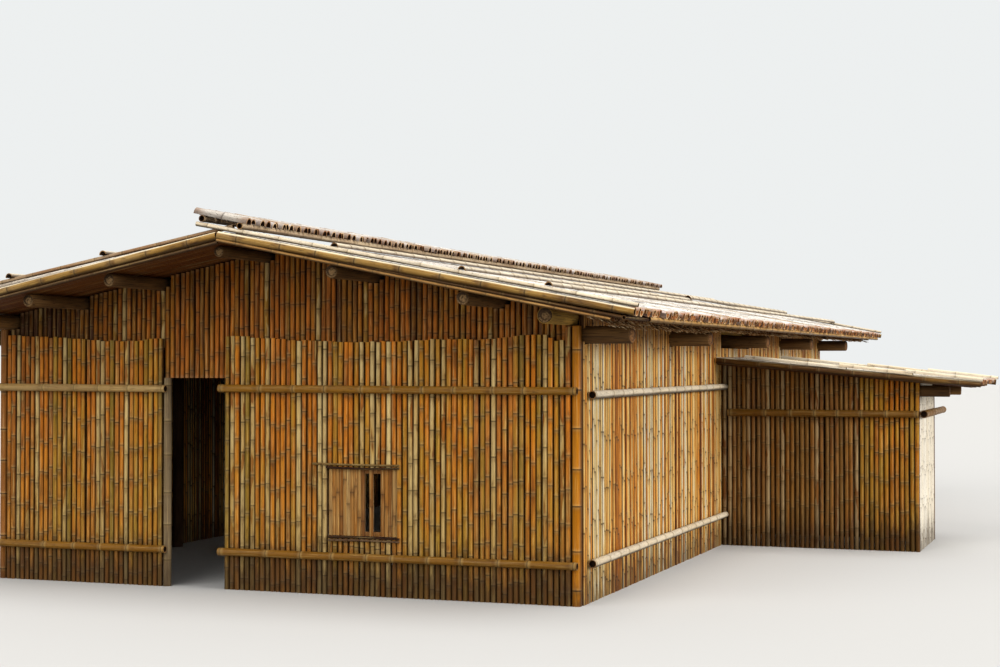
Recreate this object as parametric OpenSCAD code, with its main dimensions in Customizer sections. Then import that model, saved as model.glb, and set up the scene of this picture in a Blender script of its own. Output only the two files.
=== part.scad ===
// Bamboo house: a long low room with culm walls, a log frame and a half-culm tile roof,
// with a small lean-to on its right side.
// X runs to the right along the front gable wall, Y back into the room, Z up.
// The origin is at ground level in the middle of the front gable wall, under the ridge.

/* [Room] */
// From the ridge line to the centres of a side wall's culms
side_x = 3022; // [2850:1:3300]
// Between the two gable walls, culm centre to culm centre
room_l = 12400; // [11800:10:14000]
// Number of bays between the cross frames
bays = 4; // [3:1:5]

/* [Culm walls] */
// Diameter of a wall culm
culm_d = 56; // [48:1:64]
// How far neighbouring culms lap into each other
culm_lap = 2; // [1:0.5:4]
// Mean height of the outer culms of the gable walls
outer_h = 2400; // [2350:5:2440]
// Rise and fall of the uneven culm tops
top_wave = 22; // [0:1:30]
// How far the inner culms that fill the gable reach down behind the outer ones
infill_lap = 110; // [90:5:200]
// Diameter of a corner post
corner_d = 90; // [70:1:110]

/* [Doorway] */
// From the ridge line to the doorway's left side
door_left = 1090; // [900:5:1400]
// Width of the doorway
door_w = 590; // [500:5:700]
// Height of the doorway
door_h = 2000; // [1930:5:2100]
// Diameter of the jamb post
jamb_d = 80; // [50:1:90]

/* [Window] */
// From the ridge line to the window's centre
window_x = 950; // [800:5:1400]
// Width of the window
window_w = 700; // [500:5:800]
// Height of the window's foot over the ground
window_z = 548; // [480:1:700]
// Height of the window
window_h = 620; // [450:1:700]
// Diameter of a slat of the window's panel
slat_d = 30; // [24:1:36]
// From the window's centre to the narrow slot's centre
slot_narrow_x = 32; // [20:1:45]
// Width of the narrow slot
slot_narrow_w = 32; // [20:1:40]
// From the window's centre to the wide slot's centre
slot_wide_x = 125; // [115:1:160]
// Width of the wide slot
slot_wide_w = 66; // [50:1:75]
// Diameter of the thin poles over and under the window
twig_d = 26; // [20:1:34]
// How far the upper thin poles run past the window's left side
twig_left_out = 160; // [0:5:220]
// How far all the thin poles run past the window's right side
twig_right_out = 16; // [0:1:60]

/* [Rails] */
// Diameter of a rail
rail_d = 80; // [60:1:90]
// Height of the upper rails on the gable walls
gable_rail_z = 1900; // [1700:5:1930]
// Height of the upper rails on the side walls
side_rail_z = 1860; // [1700:5:1930]
// Height of the lower rails
low_rail_z = 360; // [250:5:420]
// How far from the doorway's left side the front rails there end
rail_back = 20; // [0:1:60]
// How far the other front rails run past the doorway's right side
rail_past = 30; // [0:1:60]

/* [Cross frames] */
// Diameter of a cross-beam
beam_d = 160; // [130:1:180]
// How far a cross-beam's centre lies under the outer culms' mean top
beam_drop = 6; // [0:1:30]
// How far a cross-beam runs out past a side wall's culm centres
beam_out = 440; // [350:5:520]
// Diameter of a frame post
post_d = 120; // [90:1:140]
// From a side wall's culm centres in to a frame post's centre
post_in = 142; // [110:1:200]
// Diameter of the short posts on a cross-beam
strut_d = 90; // [70:1:110]

/* [Purlins] */
// Diameter of a purlin on a slope
purlin_d = 124; // [110:1:140]
// Diameter of the ridge purlin
ridge_purlin_d = 105; // [100:1:120]
// Diameter of an eave purlin, which lies on the cross-beams inside a side wall
eave_purlin_d = 150; // [130:1:155]
// How far a purlin runs out past a gable wall's culm centres
purlin_out = 870; // [700:5:950]
// How far an eave purlin runs out past a gable wall's culm centres
eave_purlin_out = 650; // [500:5:950]
// How far the ridge purlin lies to the left of the ridge line
ridge_purlin_x = 90; // [0:5:120]
// From the ridge line to the right slope's upper purlin
right_upper_x = 1025; // [900:5:1300]
// From the ridge line to the right slope's lower purlin
right_lower_x = 2255; // [2000:5:2450]
// From the ridge line to the left slope's upper purlin
left_upper_x = 1230; // [900:5:1300]
// From the ridge line to the left slope's lower purlin
left_lower_x = 2105; // [1850:5:2200]

/* [Roof] */
// Slope of the roof in degrees
pitch = 11.4; // [10.5:0.1:12]
// How far the roof runs out past a gable wall's culm centres
verge_out = 1090; // [1040:5:1250]
// Thickness of the sheathing of split culms
sheath_t = 45; // [35:1:50]
// From the ridge line to the sheathing's lower ends
sheath_x = 3620; // [3560:5:3680]
// From the ridge line to the tiles' lower ends
tile_x = 3800; // [3760:5:3950]
// Diameter of a half-culm tile
tile_d = 100; // [90:1:104]
// Open gap between two neighbouring tiles of a layer
tile_gap = 5; // [4:0.5:9]
// Thickness of a split culm's wall
split_wall = 8; // [6:0.5:10]
// Diameter of the pole under the tile ends
eave_pole_d = 50; // [40:1:70]

/* [Verges] */
// Diameter of the thick verge pole
verge_d = 80; // [70:1:110]
// Diameter of the thin pole on the tiles' edge
verge_top_d = 44; // [30:1:60]
// Diameter of the thin pole in front of the sheathing's edge
verge_low_d = 33; // [25:1:38]
// How far the left slope's thin poles on the tiles run past the ridge line
verge_cross = 100; // [40:5:120]

/* [Poles on the tiles] */
// Diameter of a split culm that holds the tiles down
hold_d = 76; // [60:1:90]
// How far from the tiles' edge a hold-down pole begins
hold_in = 10; // [0:1:30]
// From the ridge line to the right slope's uppermost free pole
right_hold_1_x = 1110; // [900:5:1300]
// From the ridge line to the right slope's middle pole
right_hold_2_x = 2290; // [2000:5:2450]
// From the ridge line to the right slope's lowest pole
right_hold_3_x = 3060; // [2800:5:3300]
// From the ridge line to the left slope's upper free pole
left_hold_1_x = 1210; // [900:5:1400]
// From the ridge line to the left slope's lower pole
left_hold_2_x = 2220; // [2000:5:2500]

/* [Ridge] */
// Diameter of the two poles that carry the ridge cap
ridge_pole_d = 66; // [50:1:75]
// From the ridge line to a ridge pole's centre
ridge_pole_x = 190; // [170:5:250]
// From the ridge line to the cap's open ends
cap_x = 300; // [280:5:340]
// Diameter of a half culm of the cap
cap_d = 102; // [101:0.5:108]
// How far neighbouring half culms of the cap lap into each other
cap_lap = 2; // [1:0.5:6]

/* [Lean-to] */
// From the front gable wall to the lean-to's front wall
annex_y = 5540; // [5300:5:5700]
// Depth of the lean-to, culm centre to culm centre
annex_l = 1510; // [1300:5:1800]
// From the room's side wall to the lean-to's side wall
annex_w = 2278; // [1900:1:2500]
// Height of the lean-to's beams at the centre
annex_beam_z = 1820; // [1780:1:1850]
// Diameter of the lean-to's beams
annex_beam_d = 135; // [110:1:140]
// How far the beams run out past the lean-to's side wall
annex_beam_out = 350; // [250:5:400]
// Diameter of the lean-to's posts
annex_post_d = 90; // [70:1:110]
// Slope of the lean-to's roof in degrees
annex_pitch = 5; // [4:0.1:5.5]
// How far the lean-to's roof runs out past its gable sides
annex_verge_out = 400; // [330:5:450]
// From the lean-to's side wall to its tiles' lower ends
annex_eave_out = 740; // [600:5:800]
// Diameter of the lean-to's verge poles
annex_verge_d = 112; // [90:1:117]
// Diameter of the lean-to's rails
annex_rail_d = 90; // [70:1:95]
// Height of the lean-to's rails
annex_rail_z = 1560; // [1400:5:1600]
// How far the lean-to's side rail runs past its rear wall
annex_rail_out = 550; // [300:5:600]

/* [Hidden] */
// Clearance where one piece lies on or against another
seat = 0.3;
side_signs = [-1, 1];
culm_r = culm_d / 2;
rail_r = rail_d / 2;
beam_r = beam_d / 2;
eave_purlin_r = eave_purlin_d / 2;
corner_r = corner_d / 2;
infill_z = outer_h - infill_lap;
beam_z = outer_h - beam_drop;
sin_p = sin(pitch);
cos_p = cos(pitch);
tan_p = tan(pitch);

// Two waves make up the uneven tops: each is its share of the rise and its degrees per millimetre
top_waves = [[0.6, 0.17], [0.4, 1.9]];

// The infill culms stand behind the outer ones, and the first beam behind the infill
infill_y = culm_d + seat;
beam_y = infill_y + culm_r + seat + beam_r;
frame_step = (room_l - 2 * beam_y) / bays;
beam_ys = [for (i = [0:bays]) beam_y + i * frame_step];
beam_end_x = side_x + beam_out;
post_x = side_x - post_in;
post_h = beam_z - beam_r - seat;

// The eave purlin lies on the beams, against the inside of the side wall
eave_purlin_x = side_x - culm_r - seat - eave_purlin_r;
eave_purlin_z = beam_z + beam_r + seat + eave_purlin_r;
// Height of the sheathing's underside at the ridge line and at a distance from it
under_apex = eave_purlin_z + (eave_purlin_r + seat) / cos_p + tan_p * eave_purlin_x;
function under_z(x) = under_apex - tan_p * abs(x);
// Each purlin is a pair: its place across the roof and its diameter
left_purlins = [[-left_upper_x, purlin_d], [-left_lower_x, purlin_d], [-eave_purlin_x, eave_purlin_d]];
ridge_purlins = [[-ridge_purlin_x, ridge_purlin_d]];
right_purlins = [[right_upper_x, purlin_d], [right_lower_x, purlin_d], [eave_purlin_x, eave_purlin_d]];
purlins = concat(left_purlins, ridge_purlins, right_purlins);
function purlin_z(p) = under_z(p[0]) - (p[1] / 2 + seat) / cos_p;

corner_x = side_x - culm_r - seat;
corner_y = corner_r - culm_r;
corner_h = beam_z + beam_r;
side_y0 = corner_y + corner_r + seat;
side_h = under_z(side_x + culm_r) - seat;
door_right = door_left - door_w;
window_left = window_x - window_w / 2;
window_top = window_z + window_h;

// Distances along the normal of a slope, from the sheathing's underside
tile_r = tile_d / 2;
tile_n = sheath_t + seat;
// The cover tiles stand in the channel tiles below them, a little sunk into their inner faces
tile_sink = 0.5;
cover_rise = split_wall - tile_sink;
// The channels' rims end a little below the covers' crowns
rim_gap = 3;
sheath_y = verge_low_d + seat - verge_out;
verge_r = verge_d / 2;
verge_n = sheath_t + seat + verge_r;
verge_y = verge_r - verge_out;
tile_y = verge_y + verge_r + seat;
// Both slopes' thin poles lie side by side on the outermost cover tile
verge_top_r = verge_top_d / 2;
verge_top_in = verge_top_r + seat / 2;
verge_top_n = tile_n + cover_rise + sqrt(pow(tile_r + seat + verge_top_r, 2) - pow(verge_top_in, 2));
// The poles along the roof lie over the thin poles on the tiles' edges
hold_n = verge_top_n + verge_top_r + seat;
hold_y = tile_y + hold_in;
cap_n = hold_n + ridge_pole_d + seat;

// The lean-to's roof lies on the ends of its beams
annex_x = side_x + annex_w;
annex_rear_y = annex_y + annex_l;
annex_in_x = side_x + culm_r + seat;
annex_beam_r = annex_beam_d / 2;
annex_beam_end = annex_x + annex_beam_out;
annex_apex = annex_beam_z + annex_beam_r + seat + tan(annex_pitch) * annex_beam_end;
function annex_under_z(x) = annex_apex - tan(annex_pitch) * x;
annex_beam_in = culm_r + seat + annex_beam_r;
annex_rail_r = annex_rail_d / 2;
annex_wall_end = annex_x + culm_r;
annex_sheath_t = 40;
annex_verge_r = annex_verge_d / 2;
annex_verge_n = annex_sheath_t / 2 + annex_verge_r;
annex_verge_y = annex_y - annex_verge_out + annex_verge_r;
annex_tile_y = annex_verge_y + annex_verge_r + seat;
// The sheathing's upper edges touch the verge poles, which lie half over them
annex_sheath_y = annex_verge_y + sqrt(pow(annex_verge_r + seat, 2) - pow(annex_verge_n - annex_sheath_t, 2));
ledger_d = 80;

// A pole of diameter d along X from x0 to x1
module pole_x(x0, x1, d) {
  translate([x0, 0, 0]) rotate([0, 90, 0]) cylinder(d = d, h = x1 - x0, $fn = 64);
}

// A pole of diameter d along Y from y0 to y1
module pole_y(y0, y1, d) {
  translate([0, y0, 0]) rotate([-90, 0, 0]) cylinder(d = d, h = y1 - y0, $fn = 64);
}

// A row of lapped culms of diameter d along X that fills x0 to x1 exactly
module culm_plan(x0, x1, d = culm_d) {
  count = max(1, ceil((x1 - x0 - d) / (d - culm_lap)));
  step = (x1 - x0 - d) / count;
  for (i = [0:count]) translate([x0 + d / 2 + i * step, 0]) circle(d = d, $fn = 48);
}

// The height of an outer culm's uneven top at x
function uneven_top(x) = outer_h + top_wave * (wave(x, top_waves[0]) + wave(x, top_waves[1]));
function wave(x, w) = w[0] * sin(x * w[1]);

// A row of outer culms from x0 to x1 with uneven tops
module uneven_culms(x0, x1) {
  count = max(1, ceil((x1 - x0 - culm_d) / (culm_d - culm_lap)));
  step = (x1 - x0 - culm_d) / count;
  for (i = [0:count]) {
    x = x0 + culm_r + i * step;
    translate([x, 0, 0]) cylinder(d = culm_d, h = uneven_top(x), $fn = 48);
  }
}

// Mirrors what stands at the front gable to the rear gable
module at_rear() {
  translate([0, room_l, 0]) mirror([0, 1, 0]) children();
}

// Places a piece at the right side, or mirrored at the left side
module on_side(side) {
  if (side > 0) children();
  else mirror([1, 0, 0]) children();
}

// A row of half culms along X as a flat outline, standing on X, that fills x0 to x1 with last + 1 culms
module half_culm_row(x0, x1, d, last = 0) {
  step = (x1 - x0 - d) / max(1, last);
  difference() {
    for (i = [0:last]) translate([x0 + d / 2 + i * step, 0]) circle(d = d, $fn = 48);
    for (i = [0:last]) translate([x0 + d / 2 + i * step, 0]) circle(d = d - 2 * split_wall, $fn = 48);
    translate([x0 - d, -d]) square([x1 - x0 + 2 * d, d]);
  }
}

// Cover tiles that stand in channel tiles, as a flat outline over X that fills x0 to x1;
// the outermost tiles are covers
module tile_outline(x0, x1) {
  last = floor((x1 - x0 - tile_d) / (tile_d + tile_gap));
  step = (x1 - x0 - tile_d) / last;
  first = x0 + tile_r + step / 2;
  difference() {
    for (i = [1:last]) translate([first + (i - 1) * step, tile_r]) circle(d = tile_d, $fn = 48);
    for (i = [1:last]) translate([first + (i - 1) * step, tile_r])
      circle(d = tile_d - 2 * split_wall, $fn = 48);
    translate([x0, tile_r - rim_gap]) square([x1 - x0, tile_d]);
  }
  translate([0, cover_rise]) half_culm_row(x0, x1, tile_d, last);
}

// Extrudes an outline in Y and Z along X from x0 to x1
module along_x(x0, x1) {
  translate([x0, 0, 0]) rotate([90, 0, 90]) linear_extrude(height = x1 - x0) children();
}

// Extrudes an outline in X and Z along Y from y0 to y1
module along_y(y0, y1) {
  translate([0, y1, 0]) rotate([90, 0, 0]) linear_extrude(height = y1 - y0) children();
}

// Coordinates of the right slope: X down the slope, Z along its normal
module on_slope() {
  translate([0, 0, under_apex]) rotate([0, pitch, 0]) children();
}

// Distance down the slope at which the plane X = x meets the height n over the slope
function slope_s(x, n) = (x - n * sin_p) / cos_p;

// A pole down the right slope at the height n and the place y, its upper end near X = x0
module slope_pole(x0, x1, n, y, d) {
  s0 = slope_s(x0, n) + (d / 2) * tan_p;
  on_slope() translate([s0, y, n]) rotate([0, 90, 0]) cylinder(d = d, h = slope_s(x1, 0) - s0, $fn = 64);
}

module front_wall_left() {
  color("peru") uneven_culms(seat + corner_r - corner_x, -door_left - jamb_d - seat);
}

module front_wall_right() {
  color("peru") difference() {
    uneven_culms(-door_right, corner_x - corner_r - seat);
    translate([window_left, -culm_d, window_z]) cube([window_w, 2 * culm_d, window_h]);
  }
}

module rear_wall() {
  color("burlywood") at_rear() uneven_culms(seat + corner_r - corner_x, corner_x - corner_r - seat);
}

// Room for the purlins, open upwards
module purlin_slots() {
  for (p = purlins) translate([p[0], 0, purlin_z(p)]) {
    pole_y(0, 4 * culm_d, p[1] + 2 * seat);
    translate([-p[1] / 2 - seat, 0, 0]) cube([p[1] + 2 * seat, 4 * culm_d, p[1]]);
  }
}

// The gable's outline over the culms' feet, cut to the roof's underside
module gable_outline(foot_z) {
  half = corner_x - corner_r - seat;
  along_y(0, 3 * culm_d)
    polygon([[-half, foot_z], [half, foot_z], [half, under_z(half) - seat],
             [0, under_apex - seat], [-half, under_z(half) - seat]]);
}

// Inner culms that close the gable, reaching down to the doorway's head where there is one
module gable_culms(with_door) {
  half = corner_x - corner_r - seat;
  difference() {
    intersection() {
      translate([0, infill_y, 0]) {
        translate([0, 0, infill_z]) linear_extrude(height = under_apex) culm_plan(-half, half);
        if (with_door) translate([0, 0, door_h]) linear_extrude(height = infill_z + infill_lap / 2 - door_h)
          culm_plan(-door_left - jamb_d, -door_right + culm_d);
      }
      gable_outline(door_h);
    }
    purlin_slots();
  }
}

module front_gable() {
  color("sienna") gable_culms(true);
}

module rear_gable() {
  color("sienna") at_rear() gable_culms(false);
}

// A length of side wall: culms from y0 to y1 up to wall_h, cut round the cross-beams
module side_wall(y0, y1, wall_h) {
  difference() {
    linear_extrude(height = wall_h) translate([side_x, 0]) rotate(90) culm_plan(y0, y1);
    for (y = beam_ys) if (wall_h > post_h && y > y0 && y < y1) translate([0, y, beam_z]) {
      pole_x(side_x - culm_d, side_x + culm_d, beam_d + 2 * seat);
      translate([side_x - culm_d, -beam_r - seat, 0]) cube([2 * culm_d, beam_d + 2 * seat, wall_h]);
    }
  }
}

module side_wall_left() {
  color("wheat") on_side(-1) side_wall(side_y0, room_l - side_y0, side_h);
}

// Beside the lean-to the culms end under the beams, which leaves an airing gap over its roof
module side_wall_right() {
  color("wheat") {
    side_wall(side_y0, annex_y - seat, side_h);
    side_wall(annex_y, annex_rear_y, post_h);
    side_wall(annex_rear_y + seat, room_l - side_y0, side_h);
  }
}

module corner_posts() {
  color("goldenrod") for (side = side_signs, y = [corner_y, room_l - corner_y])
    translate([side * corner_x, y, 0]) cylinder(d = corner_d, h = corner_h, $fn = 64);
}

module door_jamb() {
  color("darkgray") translate([-door_left - jamb_d / 2, jamb_d / 2 - culm_r, 0])
    cylinder(d = jamb_d, h = door_h - seat, $fn = 64);
}

// Slats between x0 and x1, measured from the window's centre
module slats(x0, x1) {
  translate([window_x, 0, window_z + seat]) linear_extrude(height = window_h - 2 * seat)
    culm_plan(x0, x1, slat_d);
}

module window_panel() {
  half = window_w / 2 - seat;
  color("tan") {
    slats(-half, slot_narrow_x - slot_narrow_w / 2);
    slats(slot_narrow_x + slot_narrow_w / 2, slot_wide_x - slot_wide_w / 2);
    slats(slot_wide_x + slot_wide_w / 2, half);
  }
}

// Two thin poles, one over the other, from x0 to the window's right side
module twig_pair(x0, z) {
  for (side = side_signs) translate([0, -culm_r - seat - twig_d / 2, z + side * (twig_d + seat) / 2])
    pole_x(x0, window_left + window_w + twig_right_out, twig_d);
}

module window_poles() {
  color("saddlebrown") {
    twig_pair(window_left - twig_left_out, window_top + twig_d);
    twig_pair(window_left, window_z - twig_d);
  }
}

// The upper and lower rails of a gable wall between x0 and x1
module gable_rails(x0, x1) {
  for (z = [low_rail_z, gable_rail_z]) translate([0, -culm_r - seat - rail_r, z]) pole_x(x0, x1, rail_d);
}

module front_rails() {
  color("olive") {
    gable_rails(-side_x, -door_left - rail_back);
    gable_rails(-door_right - rail_past, side_x);
  }
}

module rear_rails() {
  color("olive") at_rear() gable_rails(-side_x, side_x);
}

// The upper and lower rails of a side wall, in lengths given by their ends
module side_rails(spans) {
  x = side_x + culm_r + seat + rail_r;
  for (z = [low_rail_z, side_rail_z], span = spans) translate([x, 0, z]) pole_y(span[0], span[1], rail_d);
}

module side_rails_left() {
  color("tan") on_side(-1) side_rails([[beam_y, room_l - beam_y]]);
}

module side_rails_right() {
  color("tan")
    side_rails([[beam_y, annex_y - culm_r - seat], [annex_rear_y + culm_r + seat, room_l - beam_y]]);
}

module frame_posts() {
  color("rosybrown") for (side = side_signs, y = beam_ys)
    translate([side * post_x, y, 0]) cylinder(d = post_d, h = post_h, $fn = 64);
}

module cross_beams() {
  color("dimgray") for (y = beam_ys) translate([0, y, beam_z]) pole_x(-beam_end_x, beam_end_x, beam_d);
}

// Short posts that stand on the cross-beams, cut to their round, and carry the purlins
module beam_struts() {
  color("rosybrown") for (y = beam_ys, p = purlins) if (abs(p[0]) < eave_purlin_x)
    difference() {
      translate([p[0], y, beam_z])
        cylinder(d = strut_d, h = purlin_z(p) - p[1] / 2 - seat - beam_z, $fn = 64);
      translate([0, y, beam_z]) pole_x(p[0] - strut_d, p[0] + strut_d, beam_d + 2 * seat);
    }
}

// A purlin along the roof, out past the gable walls
module purlin(p) {
  out = abs(p[0]) < eave_purlin_x ? purlin_out : eave_purlin_out;
  translate([p[0], 0, purlin_z(p)]) pole_y(-out, room_l + out, p[1]);
}

module ridge_purlin() {
  color("dimgray") for (p = ridge_purlins) purlin(p);
}

module purlins_left() {
  color("dimgray") for (p = left_purlins) purlin(p);
}

module purlins_right() {
  color("dimgray") for (p = right_purlins) purlin(p);
}

// One slope's sheathing of split culms, meeting the other's at the ridge line
module sheathing() {
  on_slope() along_y(sheath_y, room_l - sheath_y)
    polygon([[slope_s(seat / 2, 0), 0], [slope_s(seat / 2, sheath_t), sheath_t],
             [slope_s(sheath_x, 0), sheath_t], [slope_s(sheath_x, 0), 0]]);
}

module sheathing_left() {
  color("chocolate") on_side(-1) sheathing();
}

module sheathing_right() {
  color("chocolate") sheathing();
}

// One slope's tiles, square at both ends
module tiles() {
  on_slope() translate([0, 0, tile_n])
    along_x(slope_s(seat, tile_n), slope_s(tile_x, 0)) tile_outline(tile_y, room_l - tile_y);
}

module tiles_left() {
  color("cornsilk") on_side(-1) tiles();
}

module tiles_right() {
  color("cornsilk") tiles();
}

module eave_poles() {
  x = tile_x - eave_pole_d - seat;
  color("tan") for (side = side_signs) on_side(side)
    translate([x, 0, under_z(x) + (tile_n - seat - eave_pole_d / 2) / cos_p])
      pole_y(-verge_out, room_l + verge_out, eave_pole_d);
}

// The three poles down a verge of the right slope; the thin pole on the tiles starts at top_x
module verge(top_x, top_y) {
  slope_pole(0, tile_x, verge_n, verge_y, verge_d);
  slope_pole(top_x, tile_x, verge_top_n, top_y, verge_top_d);
  slope_pole(0, sheath_x, verge_low_d / 2, verge_low_d / 2 - verge_out, verge_low_d);
}

// On the left slope the thin pole runs past the ridge line, behind the right slope's
module verge_left() {
  on_side(-1) verge(-verge_cross, tile_y + tile_r + verge_top_in);
}

// On the right slope the thin pole runs on under the left ridge pole and carries it
module verge_right() {
  verge(-ridge_pole_x - ridge_pole_d, tile_y + tile_r - verge_top_in);
}

module verge_left_front() {
  color("darkkhaki") verge_left();
}

module verge_right_front() {
  color("darkkhaki") verge_right();
}

module verge_left_rear() {
  color("darkkhaki") at_rear() verge_left();
}

module verge_right_rear() {
  color("darkkhaki") at_rear() verge_right();
}

// Split culms along the roof at the distances given, hollow side down, over the verges' thin poles
module hold_poles(distances) {
  on_slope() for (x = distances) translate([slope_s(x, hold_n), 0, hold_n]) along_y(hold_y, room_l - hold_y)
    half_culm_row(-hold_d / 2, hold_d / 2, hold_d);
}

module hold_poles_left() {
  color("ivory") on_side(-1) hold_poles([left_hold_1_x, left_hold_2_x]);
}

module hold_poles_right() {
  color("ivory") hold_poles([right_hold_1_x, right_hold_2_x, right_hold_3_x]);
}

// The left ridge pole lies as high over the right slope's plane as the right one
module ridge_poles() {
  n = hold_n + ridge_pole_d / 2;
  color("tan") on_slope() for (side = side_signs)
    translate([slope_s(side * ridge_pole_x, n), 0, n]) pole_y(hold_y, room_l - hold_y, ridge_pole_d);
}

// Short half culms side by side across both ridge poles
module ridge_cap() {
  last = ceil((room_l - 2 * hold_y - cap_d) / (cap_d - cap_lap));
  color("blanchedalmond") on_slope() translate([0, 0, cap_n])
    along_x(slope_s(-cap_x, cap_n), slope_s(cap_x, cap_n))
      half_culm_row(hold_y, room_l - hold_y, cap_d, last);
}

// The lean-to's space under its roof
module under_annex_roof() {
  x = annex_wall_end + culm_r;
  along_y(annex_y - 2 * culm_d, annex_rear_y + 2 * culm_d)
    polygon([[0, 0], [x, 0], [x, annex_under_z(x) - seat], [0, annex_under_z(0) - seat]]);
}

// A culm wall of the lean-to along X at the place y
module annex_cross_wall(y) {
  intersection() {
    linear_extrude(height = annex_apex) translate([0, y]) culm_plan(annex_in_x, annex_wall_end);
    under_annex_roof();
  }
}

module annex_front_wall() {
  color("peru") annex_cross_wall(annex_y);
}

module annex_rear_wall() {
  color("burlywood") annex_cross_wall(annex_rear_y);
}

module annex_side_wall() {
  color("wheat") difference() {
    linear_extrude(height = annex_under_z(annex_wall_end) - seat) translate([annex_x, 0]) rotate(90)
      culm_plan(annex_y + culm_r + seat, annex_rear_y - culm_r - seat);
    for (y = [annex_y + annex_beam_in, annex_rear_y - annex_beam_in]) translate([0, y, annex_beam_z]) {
      pole_x(annex_x - culm_d, annex_x + culm_d, annex_beam_d + 2 * seat);
      translate([annex_x - culm_d, -annex_beam_r - seat, 0])
        cube([2 * culm_d, annex_beam_d + 2 * seat, annex_apex]);
    }
  }
}

module annex_posts() {
  x = annex_x - culm_r - seat - annex_post_d / 2;
  color("rosybrown") for (post = [x, annex_in_x + annex_post_d / 2], y = [annex_y, annex_rear_y])
    translate([post, y + (y > annex_y ? -annex_beam_in : annex_beam_in), 0])
      cylinder(d = annex_post_d, h = annex_beam_z - annex_beam_r - seat, $fn = 64);
}

module annex_rails() {
  color("sienna") translate([0, 0, annex_rail_z]) {
    translate([0, annex_y - culm_r - seat - annex_rail_r, 0])
      pole_x(annex_in_x + rail_d, annex_wall_end, annex_rail_d);
    translate([0, annex_rear_y + culm_r + seat + annex_rail_r, 0])
      pole_x(annex_in_x + rail_d, annex_x - annex_rail_r, annex_rail_d);
    translate([annex_wall_end + seat + annex_rail_r, 0, 0])
      pole_y(annex_y - culm_r, annex_rear_y + annex_rail_out, annex_rail_d);
  }
}

module annex_beams() {
  color("dimgray") {
    for (y = [annex_y + annex_beam_in, annex_rear_y - annex_beam_in])
      translate([0, y, annex_beam_z]) pole_x(annex_in_x, annex_beam_end, annex_beam_d);
    x = annex_in_x + ledger_d / 2;
    translate([x, 0, annex_under_z(x) - (ledger_d / 2 + seat) / cos(annex_pitch)])
      pole_y(annex_y + culm_r + seat, annex_rear_y - culm_r - seat, ledger_d);
  }
}

// Coordinates of the lean-to's roof: X down its slope, Z along its normal
module on_annex_slope() {
  translate([0, 0, annex_apex]) rotate([0, annex_pitch, 0]) children();
}

// Distance down the lean-to's roof from X = 0 to X = x
function annex_s(x) = x / cos(annex_pitch);

module annex_sheathing() {
  s0 = annex_s(annex_in_x);
  s1 = annex_s(annex_x + annex_eave_out - tile_d);
  color("chocolate") on_annex_slope() along_y(annex_sheath_y, annex_y + annex_rear_y - annex_sheath_y)
    polygon([[s0, 0], [s1, 0], [s1, annex_sheath_t],
             [s0 - annex_sheath_t * tan(annex_pitch), annex_sheath_t]]);
}

// The lean-to's tiles with the verge poles beside them
module annex_tiles() {
  s0 = annex_s(annex_in_x);
  s1 = annex_s(annex_x + annex_eave_out);
  color("cornsilk") on_annex_slope() translate([0, 0, annex_sheath_t + seat])
    along_x(s0, s1) tile_outline(annex_tile_y, annex_y + annex_rear_y - annex_tile_y);
  color("darkkhaki") for (y = [annex_verge_y, annex_y + annex_rear_y - annex_verge_y])
    on_annex_slope() translate([0, y, annex_verge_n]) pole_x(s0, s1, annex_verge_d);
}

front_wall_left();
front_wall_right();
front_gable();
rear_wall();
rear_gable();
side_wall_left();
side_wall_right();
corner_posts();
door_jamb();
window_panel();
window_poles();
front_rails();
rear_rails();
side_rails_left();
side_rails_right();
frame_posts();
cross_beams();
beam_struts();
ridge_purlin();
purlins_left();
purlins_right();
sheathing_left();
sheathing_right();
tiles_left();
tiles_right();
eave_poles();
verge_left_front();
verge_right_front();
verge_left_rear();
verge_right_rear();
hold_poles_left();
hold_poles_right();
ridge_poles();
ridge_cap();
annex_front_wall();
annex_side_wall();
annex_rear_wall();
annex_posts();
annex_rails();
annex_beams();
annex_sheathing();
annex_tiles();
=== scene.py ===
"""Looks of the bamboo house: culm walls, log frame, half-culm tile roof and lean-to, all in metres."""
from __future__ import annotations

import logging
import math
from collections import defaultdict
from dataclasses import dataclass, field
from enum import Enum
from typing import NamedTuple

import bmesh
import bpy
import numpy as np
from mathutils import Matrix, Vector


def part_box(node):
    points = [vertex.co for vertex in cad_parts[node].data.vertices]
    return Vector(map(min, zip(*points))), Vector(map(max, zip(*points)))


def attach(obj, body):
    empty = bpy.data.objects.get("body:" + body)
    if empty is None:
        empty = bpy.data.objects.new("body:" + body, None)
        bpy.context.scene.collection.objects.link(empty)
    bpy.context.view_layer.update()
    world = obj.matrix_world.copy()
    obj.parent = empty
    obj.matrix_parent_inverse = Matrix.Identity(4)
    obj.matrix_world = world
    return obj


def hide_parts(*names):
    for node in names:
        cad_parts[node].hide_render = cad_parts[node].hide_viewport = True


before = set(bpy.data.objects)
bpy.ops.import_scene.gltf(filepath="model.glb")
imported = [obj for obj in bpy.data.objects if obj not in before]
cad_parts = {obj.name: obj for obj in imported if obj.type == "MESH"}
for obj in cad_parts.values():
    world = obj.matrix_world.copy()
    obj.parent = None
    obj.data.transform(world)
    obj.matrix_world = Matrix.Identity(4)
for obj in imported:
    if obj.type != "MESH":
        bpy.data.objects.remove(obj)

log = logging.getLogger("bamboo_house")
ROOT = "root"

Colour = tuple[float, float, float]
Way = tuple[float, float, float]
Numbers = np.ndarray | float
Stops = tuple[tuple[float, Colour], ...]
Socket = bpy.types.NodeSocket
Material = bpy.types.Material
Finish = tuple[Material, ...]


class Face(Enum):
    """The three kinds of surface on a bamboo piece, in the order of its material slots."""

    SKIN = 0
    CUT = 1
    HOLLOW = 2


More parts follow.
